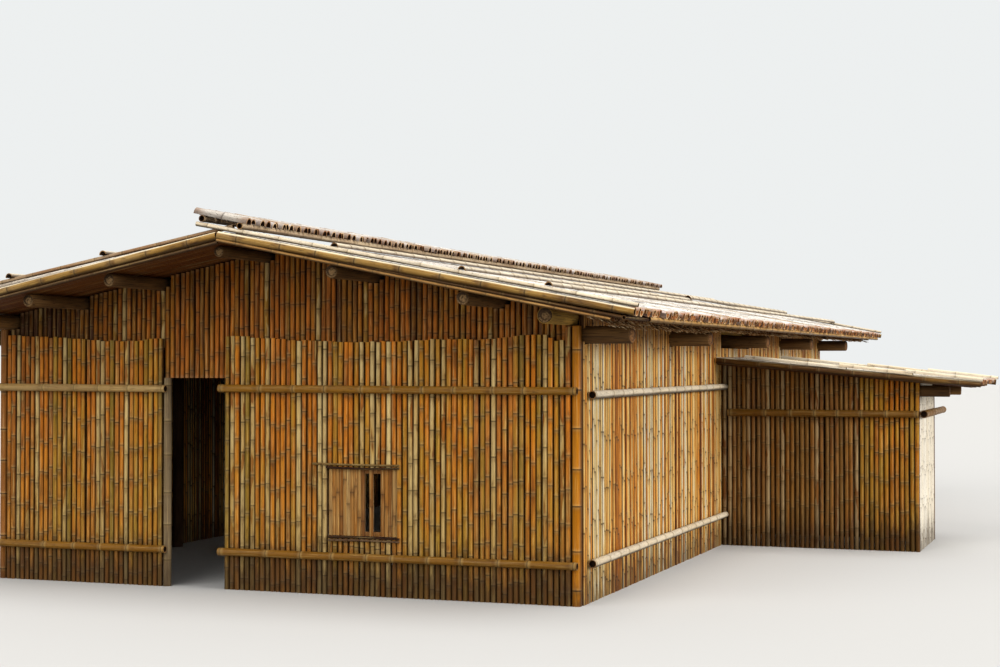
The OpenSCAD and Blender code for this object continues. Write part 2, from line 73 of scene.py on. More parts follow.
def linear(colour: Colour) -> tuple[float, float, float, float]:
    """Turns a colour as seen on a screen into the linear one that a shader takes."""
    return tuple(c / 12.92 if c <= 0.04045 else ((c + 0.055) / 1.055) ** 2.4 for c in colour) + (1.0,)


class Wires:
    """The nodes of a material or of the world, wired by short calls."""

    def __init__(self, tree: bpy.types.NodeTree) -> None:
        """Takes the node tree."""
        self.tree = tree

    def put(self, socket: Socket, value: object) -> None:
        """Links or sets a socket.

        Args:
            socket: the input.
            value: another node's output, or a plain value.
        """
        if isinstance(value, Socket):
            self.tree.links.new(value, socket)
        else:
            socket.default_value = value

    def node(self, kind: str, *values: object, **settings: object) -> bpy.types.Node:
        """Adds a node.

        Args:
            kind: its type, without the first word that all types share.
            values: what goes into its first inputs.
            settings: its other properties.

        Returns:
            The node.
        """
        made = self.tree.nodes.new("ShaderNode" + kind)
        for name, setting in settings.items():
            setattr(made, name, setting)
        for socket, value in zip(made.inputs, values):
            self.put(socket, value)
        return made

    def math(self, kind: str, a: object, b: object = 0.0) -> Socket:
        """Works out one sum of two numbers."""
        return self.node("Math", a, b, operation=kind).outputs[0]

    def add(self, a: object, b: object) -> Socket:
        """Adds two numbers."""
        return self.math("ADD", a, b)

    def times(self, a: object, b: object) -> Socket:
        """Multiplies two numbers."""
        return self.math("MULTIPLY", a, b)

    def apart(self, a: object, b: float) -> Socket:
        """Works out how far apart two numbers are."""
        return self.math("ABSOLUTE", self.math("SUBTRACT", a, b))

    def straight_to_camera(self) -> Socket:
        """Tells the rays that show a surface to the camera from those that light other surfaces.

        Returns:
            1 for a ray that shows it, otherwise 0.
        """
        seen = self.node("LightPath").outputs
        bounced = self.math("MAXIMUM", seen["Is Glossy Ray"], seen["Is Transmission Ray"])
        return self.math("MAXIMUM", seen["Is Camera Ray"], bounced)


class Graph(Wires):
    """One material's nodes, and the colour so far."""

    def __init__(self, name: str, colour: Colour = (0.0, 0.0, 0.0)) -> None:
        """Makes the material.

        Args:
            name: its name.
            colour: the colour to start with, as seen.
        """
        self.material = bpy.data.materials.new(name)
        self.material.use_nodes = True
        super().__init__(self.material.node_tree)
        self.colour = linear(colour)

    def mix(self, share: object, a: object, b: object, kind: str = "MIX") -> Socket:
        """Mixes two colours.

        Args:
            share: share of the second colour.
            a: first colour.
            b: second colour.
            kind: blend type.

        Returns:
            The mixed colour.
        """
        made = self.node("Mix", share, data_type="RGBA", blend_type=kind)
        self.put(made.inputs[6], a)
        self.put(made.inputs[7], b)
        return made.outputs[2]

    def lay(self, share: object, cover: Colour) -> None:
        """Lays a plain colour, given as seen, over the colour so far."""
        self.colour = self.mix(share, self.colour, linear(cover))

    def dye(self, share: object, cover: Colour) -> None:
        """Darkens the colour so far by a dye, given as seen."""
        self.colour = self.mix(share, self.colour, self.mix(1.0, self.colour, linear(cover), "MULTIPLY"))

    def ramp(self, number: object, stops: Stops) -> None:
        """Turns a number into the colour so far.

        Args:
            number: the number.
            stops: places and colours as seen.
        """
        made = self.node("ValToRGB", number)
        band = made.color_ramp
        while len(band.elements) < len(stops):
            band.elements.new(0.5)
        for element, (place, colour) in zip(band.elements, stops):
            element.position = place
            element.color = linear(colour)
        self.colour = made.outputs[0]

    def fade(self, value: object, low: float, high: float, start: float = 0.0, end: float = 1.0) -> Socket:
        """Maps a number from the range low to high to the range start to end, clamped."""
        return self.node("MapRange", value, low, high, start, end).outputs[0]

    def wander(self, noise: object, reach: float) -> Socket:
        """Spreads a noise to either side of zero."""
        return self.fade(noise, 0.3, 0.7, -reach, reach)

    def noise(self, vector: object, scale: Way, detail: float = 2.0, rough: float = 0.5) -> Socket:
        """Adds soft noise.

        Args:
            vector: where it is read.
            scale: repeats per metre in each direction.
            detail: number of finer layers.
            rough: strength of the finer layers.

        Returns:
            A number round 0.5.
        """
        made = self.node("TexNoise", self.node("VectorMath", vector, scale, operation="MULTIPLY").outputs[0])
        for name, value in (("Scale", 1.0), ("Detail", detail), ("Roughness", rough)):
            made.inputs[name].default_value = value
        return made.outputs[0]

    def attribute(self, name: str, output: str = "Fac") -> Socket:
        """Reads an attribute of the mesh."""
        return self.node("Attribute", attribute_name=name).outputs[output]

    def grain(self) -> Socket:
        """Reads the point on a culm, in metres, along its own axis."""
        return self.attribute("grain", "Vector")

    def place(self) -> Socket:
        """Reads the point on the object, in metres."""
        return self.node("TexCoord").outputs["Object"]

    def parts(self, vector: object) -> tuple[Socket, ...]:
        """Splits a vector or colour into three numbers."""
        return tuple(self.node("SeparateXYZ", vector).outputs)

    def second(self) -> Socket:
        """Reads the piece's own number, from 0 to 1."""
        return self.parts(self.attribute("mark", "Color"))[1]

    def finish(
        self, rough: object, height: object = None, depth: float = 0.002, strength: float = 0.6,
    ) -> Material:
        """Wires the shader to the colour so far.

        Args:
            rough: roughness.
            height: bump height, if any.
            depth: bump distance in metres.
            strength: bump strength.

        Returns:
            The finished material.
        """
        inputs = self.tree.nodes["Principled BSDF"].inputs
        self.put(inputs["Base Color"], self.colour)
        self.put(inputs["Roughness"], rough)
        self.put(inputs["Specular IOR Level"], 0.15)
        if height is not None:
            bump = self.node("Bump", strength, depth)
            self.put(bump.inputs["Height"], height)
            self.put(inputs["Normal"], bump.outputs[0])
        return self.material


class Tint:
    """Colours, as seen, of weather, age and painted shade on bamboo and logs."""

    DULL_LENGTH: Colour = (0.86, 0.84, 0.8)
    SHADED_FOOT: Colour = (0.64, 0.51, 0.20)
    UNDER_EAVE: Colour = (0.84, 0.55, 0.20)
    MOTTLE: Colour = (0.70, 0.62, 0.52)
    DULL_CULM: Colour = (0.76, 0.72, 0.64)
    FIBRE: Colour = (0.27, 0.15, 0.06)
    DARK_STREAK: Colour = (0.55, 0.45, 0.34)
    PALE_STREAK: Colour = (0.97, 0.84, 0.56)
    SPECK: Colour = (0.13, 0.08, 0.045)
    LONG_SPECK: Colour = (0.40, 0.31, 0.22)
    LONG_SPECK_HEART: Colour = (0.14, 0.09, 0.05)
    BLOTCH: Colour = (0.30, 0.18, 0.08)
    BLOOM: Colour = (0.90, 0.78, 0.50)
    KNOT_SHADE: Colour = (0.3, 0.17, 0.07)
    JOINT_DIRT_AND_SHADE: Colour = (0.17, 0.06, 0.0)
    BELLY_DIRT_AND_SHADE: Colour = (0.15, 0.09, 0.04)
    DAMP_AND_SHADE: Colour = (0.18, 0.11, 0.05)
    CUT_SOIL: Colour = (0.15, 0.09, 0.05)
    HOLLOW_SOIL: Colour = (0.07, 0.04, 0.025)
    LOG_FIBRE: Colour = (0.1, 0.07, 0.045)
    LOG_CRACK: Colour = (0.035, 0.025, 0.02)
    END_RING: Colour = (0.21, 0.14, 0.09)
    END_CRACK: Colour = (0.05, 0.035, 0.025)
    END_SOIL: Colour = (0.15, 0.10, 0.06)


@dataclass(frozen=True)
class CulmSkin:
    """A culm's skin: one tone a culm, fibres, stains, dark nodes, dirt and painted shade in the joints, and a
    foot darkened by damp and painted shade.
    """

    name: str
    tones: Stops
    mottle: float = 0.4
    fibre: float = 0.3
    stain: float = 0.35
    stain_colour: Colour = (0.19, 0.11, 0.05)
    knot_colour: Colour = (0.12, 0.065, 0.03)
    knot: float = 0.9
    bloom: float = 0.3
    joint_dirt_and_shade: float = 0.8
    joint_shade_from: float = 0.6
    joint_shade_to: float = 1.0
    coarse: float = 14.0
    end_stain: float = 0.0
    end_reach: float = 0.06
    end_colour: Colour = (0.58, 0.34, 0.16)
    damp_and_shade: float = 0.0
    damp_and_shade_low: float = 0.06
    damp_and_shade_share: float = 0.72
    speck: float = 0.0
    streak: float = 0.0
    blotch: float = 0.0
    bleach: float = 0.0
    bleach_colour: Colour = (0.64, 0.52, 0.38)
    crown: float = 0.0
    crown_colour: Colour = (0.98, 0.93, 0.80)
    belly: float = 0.0
    belly_from: float = 0.1
    low_tint: float = 0.0
    high_tint: float = 0.0
    rough: float = 0.5
    drift: float = 0.2

    def make(self) -> Material:
        """Builds the material."""
        return CulmGraph(self).layered()


class CulmGraph(Graph):
    """The nodes of a culm's skin, laid over each other from the culm's tone to the foot darkened by damp and
    painted shade.
    """

    def __init__(self, skin: CulmSkin) -> None:
        """Reads the culm's numbers and the noises that several layers share.

        Args:
            skin: the skin's settings.
        """
        super().__init__(skin.name)
        self.skin = skin
        mark = self.node("Attribute", attribute_name="mark")
        self.spacing = mark.outputs["Alpha"]
        self.tone, self.own, self.count = self.parts(mark.outputs["Color"])
        self.point = self.grain()
        self.broad = self.noise(self.point, (skin.coarse, skin.coarse, skin.coarse * 0.16), 3.0)
        self.patchy = self.noise(self.point, (38.0, 38.0, 9.0), 4.0, 0.6)
        self.fine = self.noise(self.point, (420.0, 420.0, 6.0), 2.0, 0.6)

    def by_culm(self, start: float, end: float) -> Socket:
        """Gives each culm a number between two bounds."""
        return self.fade(self.own, 0.0, 1.0, start, end)

    def age(self) -> None:
        """Lets each length, each culm and the part under the eave age in its own way, and paints shade on the
        wall's foot.
        """
        skin = self.skin
        length = self.node("CombineXYZ", self.math("FLOOR", self.count), self.times(self.own, 91.0))
        chance = self.node("TexWhiteNoise", noise_dimensions="2D")
        self.put(chance.inputs["Vector"], length.outputs[0])
        self.dye(self.fade(chance.outputs["Value"], 0.0, 1.0, 0.0, 0.5), Tint.DULL_LENGTH)
        self.lay(self.fade(self.own, 0.55, 1.0, 0.0, skin.bleach), skin.bleach_colour)
        # painted shade: a dull tint on the wall's lower part, strongest near the ground
        if skin.low_tint:
            height = self.parts(self.place())[2]
            self.lay(self.fade(height, 1.7, 0.5, 0.0, skin.low_tint), Tint.SHADED_FOOT)
        if skin.high_tint:
            height = self.add(self.parts(self.place())[2], self.by_culm(-0.05, 0.05))
            self.lay(self.fade(height, 2.2, 2.42, 0.0, skin.high_tint), Tint.UNDER_EAVE)

    def fibres(self) -> None:
        """Draws fine fibres and wider streaks along the culm."""
        fibre = self.skin.fibre
        streaks = self.noise(self.point, (120.0, 120.0, 2.0), 3.0, 0.6)
        self.lay(self.fade(self.fine, 0.3, 0.75, 0.0, fibre), Tint.FIBRE)
        self.dye(self.fade(streaks, 0.52, 0.72, 0.0, fibre * 1.2), Tint.DARK_STREAK)
        self.lay(self.fade(streaks, 0.46, 0.3, 0.0, fibre * 0.7), Tint.PALE_STREAK)

    def specks(self) -> None:
        """Draws round and long specks of mould."""
        speck, streak = self.skin.speck, self.skin.streak
        if speck:
            dots = self.noise(self.point, (120.0, 120.0, 45.0), 2.0, 0.7)
            self.lay(self.fade(dots, 0.6, 0.67, 0.0, speck), Tint.SPECK)
        if streak:
            dots = self.noise(self.point, (34.0, 34.0, 3.5), 4.0, 0.75)
            self.lay(self.fade(dots, 0.57, 0.63, 0.0, streak), Tint.LONG_SPECK)
            self.lay(self.fade(dots, 0.65, 0.69, 0.0, streak), Tint.LONG_SPECK_HEART)

    def knots(self) -> None:
        """Draws the nodes: a dark ring, a pale bloom beside it, a painted shade below it and blotches round
        it.
        """
        skin = self.skin
        turn = self.math("FRACT", self.add(self.count, 0.5))
        signed = self.times(self.math("SUBTRACT", turn, 0.5), self.spacing)
        gap = self.add(self.math("ABSOLUTE", signed), self.wander(self.patchy, 0.002))
        if skin.blotch:
            reach = self.add(gap, self.fade(self.patchy, 0.35, 0.65, 0.05, -0.05))
            self.lay(self.fade(reach, 0.0, 0.07, skin.blotch, 0.0), Tint.BLOTCH)
        self.lay(self.fade(gap, 0.011, 0.032, skin.bloom, 0.0), Tint.BLOOM)
        # painted shade that the node's swell casts below it
        below = self.fade(signed, -0.06, 0.0, 0.0, 0.3)
        self.lay(self.times(below, self.fade(signed, 0.0, 0.004, 1.0, 0.0)), Tint.KNOT_SHADE)
        ring = self.fade(gap, 0.0035, 0.0085, skin.knot, 0.0)
        self.lay(self.times(ring, self.by_culm(0.55, 1.0)), skin.knot_colour)

    def ends(self) -> None:
        """Stains the culm's ends."""
        reach = self.skin.end_reach
        tip = self.add(self.attribute("tip"), self.wander(self.patchy, reach * 0.4))
        stain = self.fade(tip, reach * 0.2, reach, self.skin.end_stain, 0.0)
        self.lay(self.times(stain, self.by_culm(0.5, 1.0)), self.skin.end_colour)

    def sides(self) -> None:
        """Lightens a lying culm's crown, partly bleach and partly a painted highlight, and darkens its belly
        with painted shade and some dirt.
        """
        skin = self.skin
        facing = self.add(self.attribute("crown"), self.wander(self.broad, 0.12))
        # painted highlight on the top, partly bleach; painted shade under the belly, partly dirt
        self.lay(self.fade(facing, 0.6, 0.95, 0.0, skin.crown), skin.crown_colour)
        self.lay(self.fade(facing, skin.belly_from, skin.belly_from - 0.5, 0.0, skin.belly), Tint.BELLY_DIRT_AND_SHADE)

    def foot(self) -> None:
        """Darkens the foot of a standing culm: damp, and painted shade near the ground."""
        skin = self.skin
        height = self.add(self.parts(self.place())[2], self.wander(self.patchy, 0.12))
        height = self.add(height, self.by_culm(-0.16, 0.12))
        # partly damp, partly painted shade, such as the shadow below the lower rail
        self.lay(self.fade(height, skin.damp_and_shade_low, skin.damp_and_shade, skin.damp_and_shade_share, 0.0), Tint.DAMP_AND_SHADE)

    def layered(self) -> Material:
        """Lays all the layers and finishes the material.

        Returns:
            The material.
        """
        skin = self.skin
        self.ramp(self.add(self.tone, self.wander(self.broad, skin.drift)), skin.tones)
        self.age()
        self.dye(self.fade(self.broad, 0.35, 0.7, 0.0, skin.mottle), Tint.MOTTLE)
        self.dye(self.by_culm(0.0, skin.mottle * 0.6), Tint.DULL_CULM)
        self.fibres()
        self.lay(self.fade(self.patchy, 0.57, 0.72, 0.0, skin.stain), skin.stain_colour)
        self.specks()
        self.knots()
        if skin.end_stain:
            self.ends()
        # painted shade, partly dirt: the skin darkens where it turns toward the culms beside it, in the
        # grooves between them
        if skin.joint_dirt_and_shade:
            beside = self.attribute("joint_dirt_and_shade")
            self.lay(self.fade(beside, skin.joint_shade_from, skin.joint_shade_to, 0.0, skin.joint_dirt_and_shade), Tint.JOINT_DIRT_AND_SHADE)
        if skin.crown or skin.belly:
            self.sides()
        if skin.damp_and_shade:
            self.foot()
        relief = self.add(self.times(self.fine, 0.4), self.times(self.patchy, 0.6))
        rough = self.fade(self.broad, 0.3, 0.7, skin.rough - 0.08, skin.rough + 0.12)
        return self.finish(rough, relief, 0.0015, 0.5)


@dataclass(frozen=True)
class CutCulm:
    """A culm's sawn or split wall."""

    name: str
    light: Colour = (0.66, 0.5, 0.31)
    dark: Colour = (0.36, 0.23, 0.12)

    def make(self) -> Material:
        """Builds the material.

        Returns:
            The material.
        """
        g = Graph(self.name, self.light)
        fine = g.noise(g.grain(), (300.0, 300.0, 60.0), 3.0)
        g.lay(g.fade(g.second(), 0.0, 1.0), self.dark)
        g.lay(g.fade(fine, 0.4, 0.65, 0.0, 0.6), Tint.CUT_SOIL)
        return g.finish(0.8, fine, 0.001, 0.5)


@dataclass(frozen=True)
class HollowCulm:
    """The inside of a culm."""

    name: str
    colour: Colour = (0.2, 0.12, 0.06)

    def make(self) -> Material:
        """Builds the material.

        Returns:
            The material.
        """
        g = Graph(self.name, self.colour)
        fibres = g.noise(g.grain(), (260.0, 260.0, 5.0), 2.0)
        g.lay(g.fade(fibres, 0.35, 0.7), Tint.HOLLOW_SOIL)
        return g.finish(0.85, fibres, 0.001, 0.4)


@dataclass(frozen=True)
class LogSkin:
    """A debarked log, dark and checked along the grain."""

    name: str
    light: Colour = (0.60, 0.44, 0.25)
    dark: Colour = (0.28, 0.185, 0.10)

    def make(self) -> Material:
        """Builds the material.

        Returns:
            The material.
        """
        g = Graph(self.name, self.light)
        grain = g.grain()
        fibres = g.noise(grain, (90.0, 90.0, 3.0), 4.0, 0.65)
        checks = g.noise(grain, (55.0, 55.0, 1.2), 1.0)
        crack = g.fade(g.apart(checks, 0.5), 0.0, 0.022, 1.0, 0.0)
        g.lay(g.fade(g.noise(grain, (7.0, 7.0, 1.3), 3.0), 0.3, 0.7), self.dark)
        g.lay(g.fade(g.second(), 0.0, 1.0, 0.0, 0.35), self.dark)
        g.lay(g.fade(fibres, 0.35, 0.7, 0.0, 0.55), Tint.LOG_FIBRE)
        g.lay(g.times(crack, 0.85), Tint.LOG_CRACK)
        return g.finish(0.78, g.math("SUBTRACT", fibres, g.times(crack, 0.8)), 0.004, 0.7)


@dataclass(frozen=True)
class LogEnd:
    """The weathered end of a log: a pale heart, a dark ring, a pale crescent below and cracks."""

    name: str
    light: Colour = (0.62, 0.49, 0.33)
    dark: Colour = (0.33, 0.25, 0.17)
    size: float = 0.062

    def make(self) -> Material:
        """Builds the material.

        Returns:
            The material.
        """
        g = Graph(self.name, self.dark)
        grain = g.grain()
        x, y, _ = g.parts(grain)
        radius = g.math("SQRT", g.add(g.times(x, x), g.times(y, y)))
        soft = g.noise(grain, (60.0, 60.0, 3.0), 3.0)
        wobble = g.add(radius, g.times(g.math("SUBTRACT", soft, 0.5), 0.02))
        years = g.times(g.math("SINE", g.times(wobble, 900.0)), 0.4)
        rings = g.add(years, g.times(g.math("SINE", g.times(wobble, 260.0)), 0.35))
        share = g.math("DIVIDE", wobble, self.size)
        aside = g.math("SUBTRACT", share, g.times(g.math("DIVIDE", x, self.size), 0.22))
        crescent = g.fade(g.apart(share, 0.78), 0.05, 0.16, 0.75, 0.0)
        way = g.node("CombineXYZ", g.math("DIVIDE", x, radius), g.math("DIVIDE", y, radius)).outputs[0]
        cracks = g.fade(g.apart(g.noise(way, (2.6, 2.6, 1.0), 1.0), 0.5), 0.0, 0.03, 0.6, 0.0)
        g.lay(g.fade(rings, -0.8, 0.8, 0.0, 0.5), Tint.END_RING)
        g.lay(g.fade(aside, 0.38, 0.58, 0.85, 0.0), self.light)
        g.lay(g.times(crescent, g.fade(y, 0.01, -0.03)), self.light)
        g.lay(cracks, Tint.END_CRACK)
        g.lay(g.fade(soft, 0.5, 0.62, 0.0, 0.7), Tint.END_SOIL)
        return g.finish(0.85, g.math("SUBTRACT", g.times(rings, 0.15), cracks), 0.002, 0.6)


@dataclass(frozen=True)
class PlainLog:
    """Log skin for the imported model's own posts, read from the object's own place."""

    name: str
    light: Colour = (0.42, 0.30, 0.19)
    dark: Colour = (0.20, 0.135, 0.085)

    def make(self) -> Material:
        """Builds the material.

        Returns:
            The material.
        """
        g = Graph(self.name, self.light)
        place = g.place()
        fibres = g.noise(place, (70.0, 70.0, 4.0), 4.0, 0.65)
        g.lay(g.fade(g.noise(place, (5.0, 5.0, 1.5), 2.0), 0.3, 0.7), self.dark)
        g.lay(g.fade(fibres, 0.35, 0.7, 0.0, 0.55), Tint.LOG_FIBRE)
        return g.finish(0.8, fibres, 0.003, 0.6)


@dataclass(frozen=True)
class FloorPaint:
    """A plain pale floor that looks lighter than the light that it throws back."""

    name: str
    shown: Colour = (0.79, 0.79, 0.785)
    thrown: Colour = (0.5, 0.5, 0.49)

    def make(self) -> Material:
        """Builds the material.

        Returns:
            The material.
        """
        g = Graph(self.name, self.thrown)
        g.lay(g.straight_to_camera(), self.shown)
        return g.finish(0.9)


class Tones:
    """Colours, as seen, that a culm's colour number picks, from 0 to 1."""

    WALL: Stops = (
        (0.0, (0.57, 0.46, 0.10)), (0.15, (0.76, 0.57, 0.16)), (0.30, (0.84, 0.58, 0.12)),
        (0.46, (0.93, 0.56, 0.07)), (0.62, (0.83, 0.48, 0.07)), (0.77, (0.58, 0.36, 0.10)),
        (0.80, (0.84, 0.68, 0.38)), (1.0, (0.98, 0.88, 0.62)),
    )
    GABLE: Stops = (
        (0.0, (0.31, 0.17, 0.05)), (0.14, (0.50, 0.31, 0.07)), (0.3, (0.70, 0.45, 0.09)),
        (0.55, (0.82, 0.46, 0.07)), (0.8, (0.61, 0.36, 0.10)), (0.93, (0.69, 0.51, 0.17)),
        (0.96, (0.80, 0.65, 0.38)), (1.0, (0.86, 0.74, 0.50)),
    )
    SIDE: Stops = (
        (0.0, (0.62, 0.34, 0.04)), (0.25, (0.89, 0.56, 0.16)), (0.55, (0.98, 0.77, 0.41)),
        (0.8, (0.99, 0.88, 0.62)), (1.0, (0.99, 0.95, 0.83)),
    )
    SHADE: Stops = (
        (0.0, (0.48, 0.35, 0.16)), (0.3, (0.58, 0.41, 0.17)), (0.6, (0.66, 0.44, 0.16)),
        (0.77, (0.50, 0.30, 0.10)), (0.8, (0.72, 0.60, 0.42)), (1.0, (0.80, 0.70, 0.52)),
    )
    BLEACHED: Stops = ((0.0, (0.93, 0.88, 0.78)), (1.0, (0.99, 0.97, 0.92)))
    UNDER: Stops = ((0.0, (0.40, 0.30, 0.18)), (0.5, (0.62, 0.45, 0.24)), (1.0, (0.86, 0.68, 0.40)))
    TILE: Stops = (
        (0.0, (0.74, 0.65, 0.54)), (0.3, (0.90, 0.88, 0.84)), (0.7, (0.96, 0.96, 0.955)),
        (1.0, (0.985, 0.99, 0.99)),
    )
    VERGE: Stops = (
        (0.0, (0.39, 0.26, 0.10)), (0.35, (0.66, 0.50, 0.22)), (0.6, (0.79, 0.64, 0.34)),
        (1.0, (0.92, 0.81, 0.58)),
    )
    PALE: Stops = ((0.0, (0.60, 0.46, 0.33)), (0.5, (0.90, 0.83, 0.71)), (1.0, (0.96, 0.94, 0.88)))
    RAIL: Stops = ((0.0, (0.46, 0.31, 0.08)), (0.5, (0.64, 0.45, 0.12)), (1.0, (0.78, 0.66, 0.44)))
    SHEATH: Stops = ((0.0, (0.28, 0.13, 0.01)), (0.5, (0.40, 0.20, 0.01)), (1.0, (0.46, 0.26, 0.04)))
    FRAYED: Stops = ((0.0, (0.34, 0.20, 0.09)), (1.0, (0.62, 0.44, 0.26)))
    SLAT: Stops = (
        (0.0, (0.54, 0.34, 0.12)), (0.35, (0.70, 0.46, 0.16)), (0.7, (0.76, 0.56, 0.29)),
        (1.0, (0.83, 0.68, 0.44)),
    )
    BARK: Stops = (
        (0.0, (0.15, 0.08, 0.05)), (0.3, (0.22, 0.13, 0.08)), (0.6, (0.46, 0.37, 0.29)),
        (1.0, (0.54, 0.44, 0.26)),
    )
    GOLD: Stops = (
        (0.0, (0.78, 0.47, 0.0)), (0.5, (0.88, 0.59, 0.04)), (0.51, (0.60, 0.38, 0.13)),
        (1.0, (0.66, 0.42, 0.15)),
    )
    GREY: Stops = ((0.0, (0.54, 0.47, 0.36)), (1.0, (0.64, 0.56, 0.45)))


class Palette:
    """All the finishes, each made once and handed out in sets of skin, cut and hollow."""

    def __init__(self) -> None:
        """Makes the materials."""
        self.cut = CutCulm("cut_culm").make()
        self.hollow = HollowCulm("hollow_culm").make()
        self.walls()
        self.roofs()
        self.poles()
        self.logs()

    def culm(self, skin: CulmSkin, *own: Material) -> Finish:
        """Puts a skin together with its own cut and hollow faces, or with the plain ones."""
        return (skin.make(), *own, *(self.cut, self.hollow)[len(own):])

    def walls(self) -> None:
        """Makes the finishes of the walls' culms."""
        self.wall = self.culm(CulmSkin(
            "wall_culm", Tones.WALL, damp_and_shade=0.46, damp_and_shade_low=0.2, damp_and_shade_share=0.8, low_tint=0.42, fibre=0.5,
            knot=0.7, bloom=0.16, blotch=0.4, bleach=0.2, joint_dirt_and_shade=0.92, joint_shade_from=0.55, joint_shade_to=0.97,
        ))
        self.gable = self.culm(CulmSkin(
            "gable_culm", Tones.GABLE, stain=0.3, fibre=0.45, knot=0.65, bloom=0.06, blotch=0.35,
            bleach=0.05, rough=0.58, joint_dirt_and_shade=0.9, joint_shade_from=0.5, joint_shade_to=0.95, end_stain=0.45,
            end_reach=0.035, end_colour=(0.66, 0.50, 0.34),
        ))
        self.side = self.culm(CulmSkin(
            "side_culm", Tones.SIDE, high_tint=0.7, mottle=0.25, stain=0.2, speck=0.15, damp_and_shade=0.4, knot=0.65,
            blotch=0.2, bloom=0.08, joint_dirt_and_shade=0.92, joint_shade_from=0.42, joint_shade_to=0.72,
        ))
        self.side_pale = self.culm(CulmSkin(
            "bleached_side_culm", Tones.BLEACHED, mottle=0.15, fibre=0.15, stain=0.3, speck=0.4, damp_and_shade=0.4,
            knot=0.5, bloom=0.05, joint_dirt_and_shade=0.6,
        ))
        self.annex = self.culm(CulmSkin(
            "annex_culm", Tones.SHADE, damp_and_shade=0.4, fibre=0.4, knot=0.6, blotch=0.3, bleach=0.25, bloom=0.1,
            joint_dirt_and_shade=0.88,
        ))
        self.corner = self.culm(CulmSkin(
            "corner_culm", Tones.GOLD, stain=0.25, knot=0.85, bloom=0.15, joint_dirt_and_shade=0.75, joint_shade_from=0.62,
            damp_and_shade=0.4, rough=0.4,
        ))
        self.slat = self.culm(CulmSkin(
            "slat_culm", Tones.SLAT, stain=0.4, mottle=0.6, fibre=0.5, knot=0.4, bloom=0.0, blotch=0.4,
            joint_dirt_and_shade=0.9, joint_shade_from=0.66,
        ))

    def roofs(self) -> None:
        """Makes the finishes of the tiles, the ridge cap and the sheathing."""
        tile_cut = CutCulm("cut_tile", (0.98, 0.84, 0.62), (0.68, 0.42, 0.20)).make()
        tile_hollow = HollowCulm("hollow_tile", (0.72, 0.45, 0.24)).make()
        cap_cut = CutCulm("cut_cap", (0.90, 0.76, 0.58), (0.56, 0.36, 0.20)).make()
        self.tile = self.culm(CulmSkin(
            "tile_culm", Tones.TILE, mottle=0.22, fibre=0.1, stain=0.6, speck=1.0, streak=0.8, bloom=0.0,
            knot=0.3, joint_dirt_and_shade=0.7, rough=0.7, end_stain=0.85, end_reach=0.09,
        ), tile_cut, tile_hollow)
        self.cap = self.culm(CulmSkin(
            "cap_culm", Tones.TILE, mottle=0.3, fibre=0.25, stain=0.5, speck=0.85, bloom=0.0, knot=0.6,
            joint_dirt_and_shade=0.6, rough=0.7, end_stain=0.7, end_reach=0.13, end_colour=(0.47, 0.31, 0.19),
        ), cap_cut)
        self.lapped = self.culm(CulmSkin(
            "lapped_culm", Tones.PALE, mottle=0.5, stain=0.5, speck=0.4, knot=0.4, bloom=0.0, joint_dirt_and_shade=0.0,
            coarse=9.0, rough=0.7, crown=0.6, stain_colour=(0.30, 0.26, 0.19),
        ))
        self.sheath = self.culm(CulmSkin(
            "sheathing_culm", Tones.SHEATH, stain=0.3, bloom=0.0, knot=0.35, joint_dirt_and_shade=0.35,
            knot_colour=(0.3, 0.16, 0.05),
        ))
        self.frayed = self.culm(CulmSkin(
            "frayed_split", Tones.FRAYED, stain=0.5, speck=0.4, knot=0.0, bloom=0.0, joint_dirt_and_shade=0.0, rough=0.8,
            end_stain=0.95, end_reach=0.03, end_colour=(0.90, 0.80, 0.64),
        ))

    def poles(self) -> None:
        """Makes the finishes of the poles."""
        self.verge = self.culm(CulmSkin(
            "verge_culm", Tones.VERGE, mottle=0.8, stain=0.65, speck=0.4, knot=0.7, bloom=0.1, joint_dirt_and_shade=0.0,
            coarse=9.0, drift=0.4, blotch=0.7, crown=0.85, belly=0.75, belly_from=-0.3,
        ))
        self.under = self.culm(CulmSkin(
            "eave_culm", Tones.UNDER, mottle=0.6, stain=0.5, speck=0.3, knot=0.6, bloom=0.1, joint_dirt_and_shade=0.0,
            blotch=0.4, belly=0.7,
        ))
        self.pale = self.culm(CulmSkin(
            "bleached_culm", Tones.PALE, fibre=0.2, stain=0.4, speck=0.6, knot=0.6, bloom=0.1, joint_dirt_and_shade=0.0,
            coarse=9.0, rough=0.65, belly=0.8, belly_from=-0.1,
        ))
        self.hold = self.culm(CulmSkin(
            "hold_culm", Tones.PALE, fibre=0.2, stain=0.5, speck=0.7, knot=0.6, bloom=0.1, joint_dirt_and_shade=0.85,
            joint_shade_from=0.7, joint_shade_to=0.97, coarse=9.0, rough=0.65,
        ))
        self.rail = self.culm(CulmSkin(
            "rail_culm", Tones.RAIL, mottle=0.6, stain=0.45, speck=0.2, knot=0.6, bloom=0.18, joint_dirt_and_shade=0.0,
            coarse=9.0, blotch=0.25,
        ))
        self.twig = self.culm(CulmSkin(
            "twig_bark", Tones.BARK, stain=0.3, knot=0.4, bloom=0.0, joint_dirt_and_shade=0.0, rough=0.85, drift=0.1,
        ))
        self.grey = self.culm(CulmSkin(
            "grey_culm", Tones.GREY, stain=0.4, knot=0.6, bloom=0.1, joint_dirt_and_shade=0.0, damp_and_shade=0.6, rough=0.75,
        ))

    def logs(self) -> None:
        """Makes the finishes of the logs."""
        skin = LogSkin("log_skin").make()
        end = LogEnd("log_end").make()
        beam_end = LogEnd("beam_end", (0.56, 0.39, 0.23), (0.40, 0.27, 0.16), 0.082).make()
        self.log = (skin, end, end)
        self.dry_log = (LogSkin("dry_log_skin", (0.84, 0.66, 0.32), (0.52, 0.38, 0.17)).make(), end, end)
        self.beam = (skin, beam_end, beam_end)
        self.post = PlainLog("post_log").make()


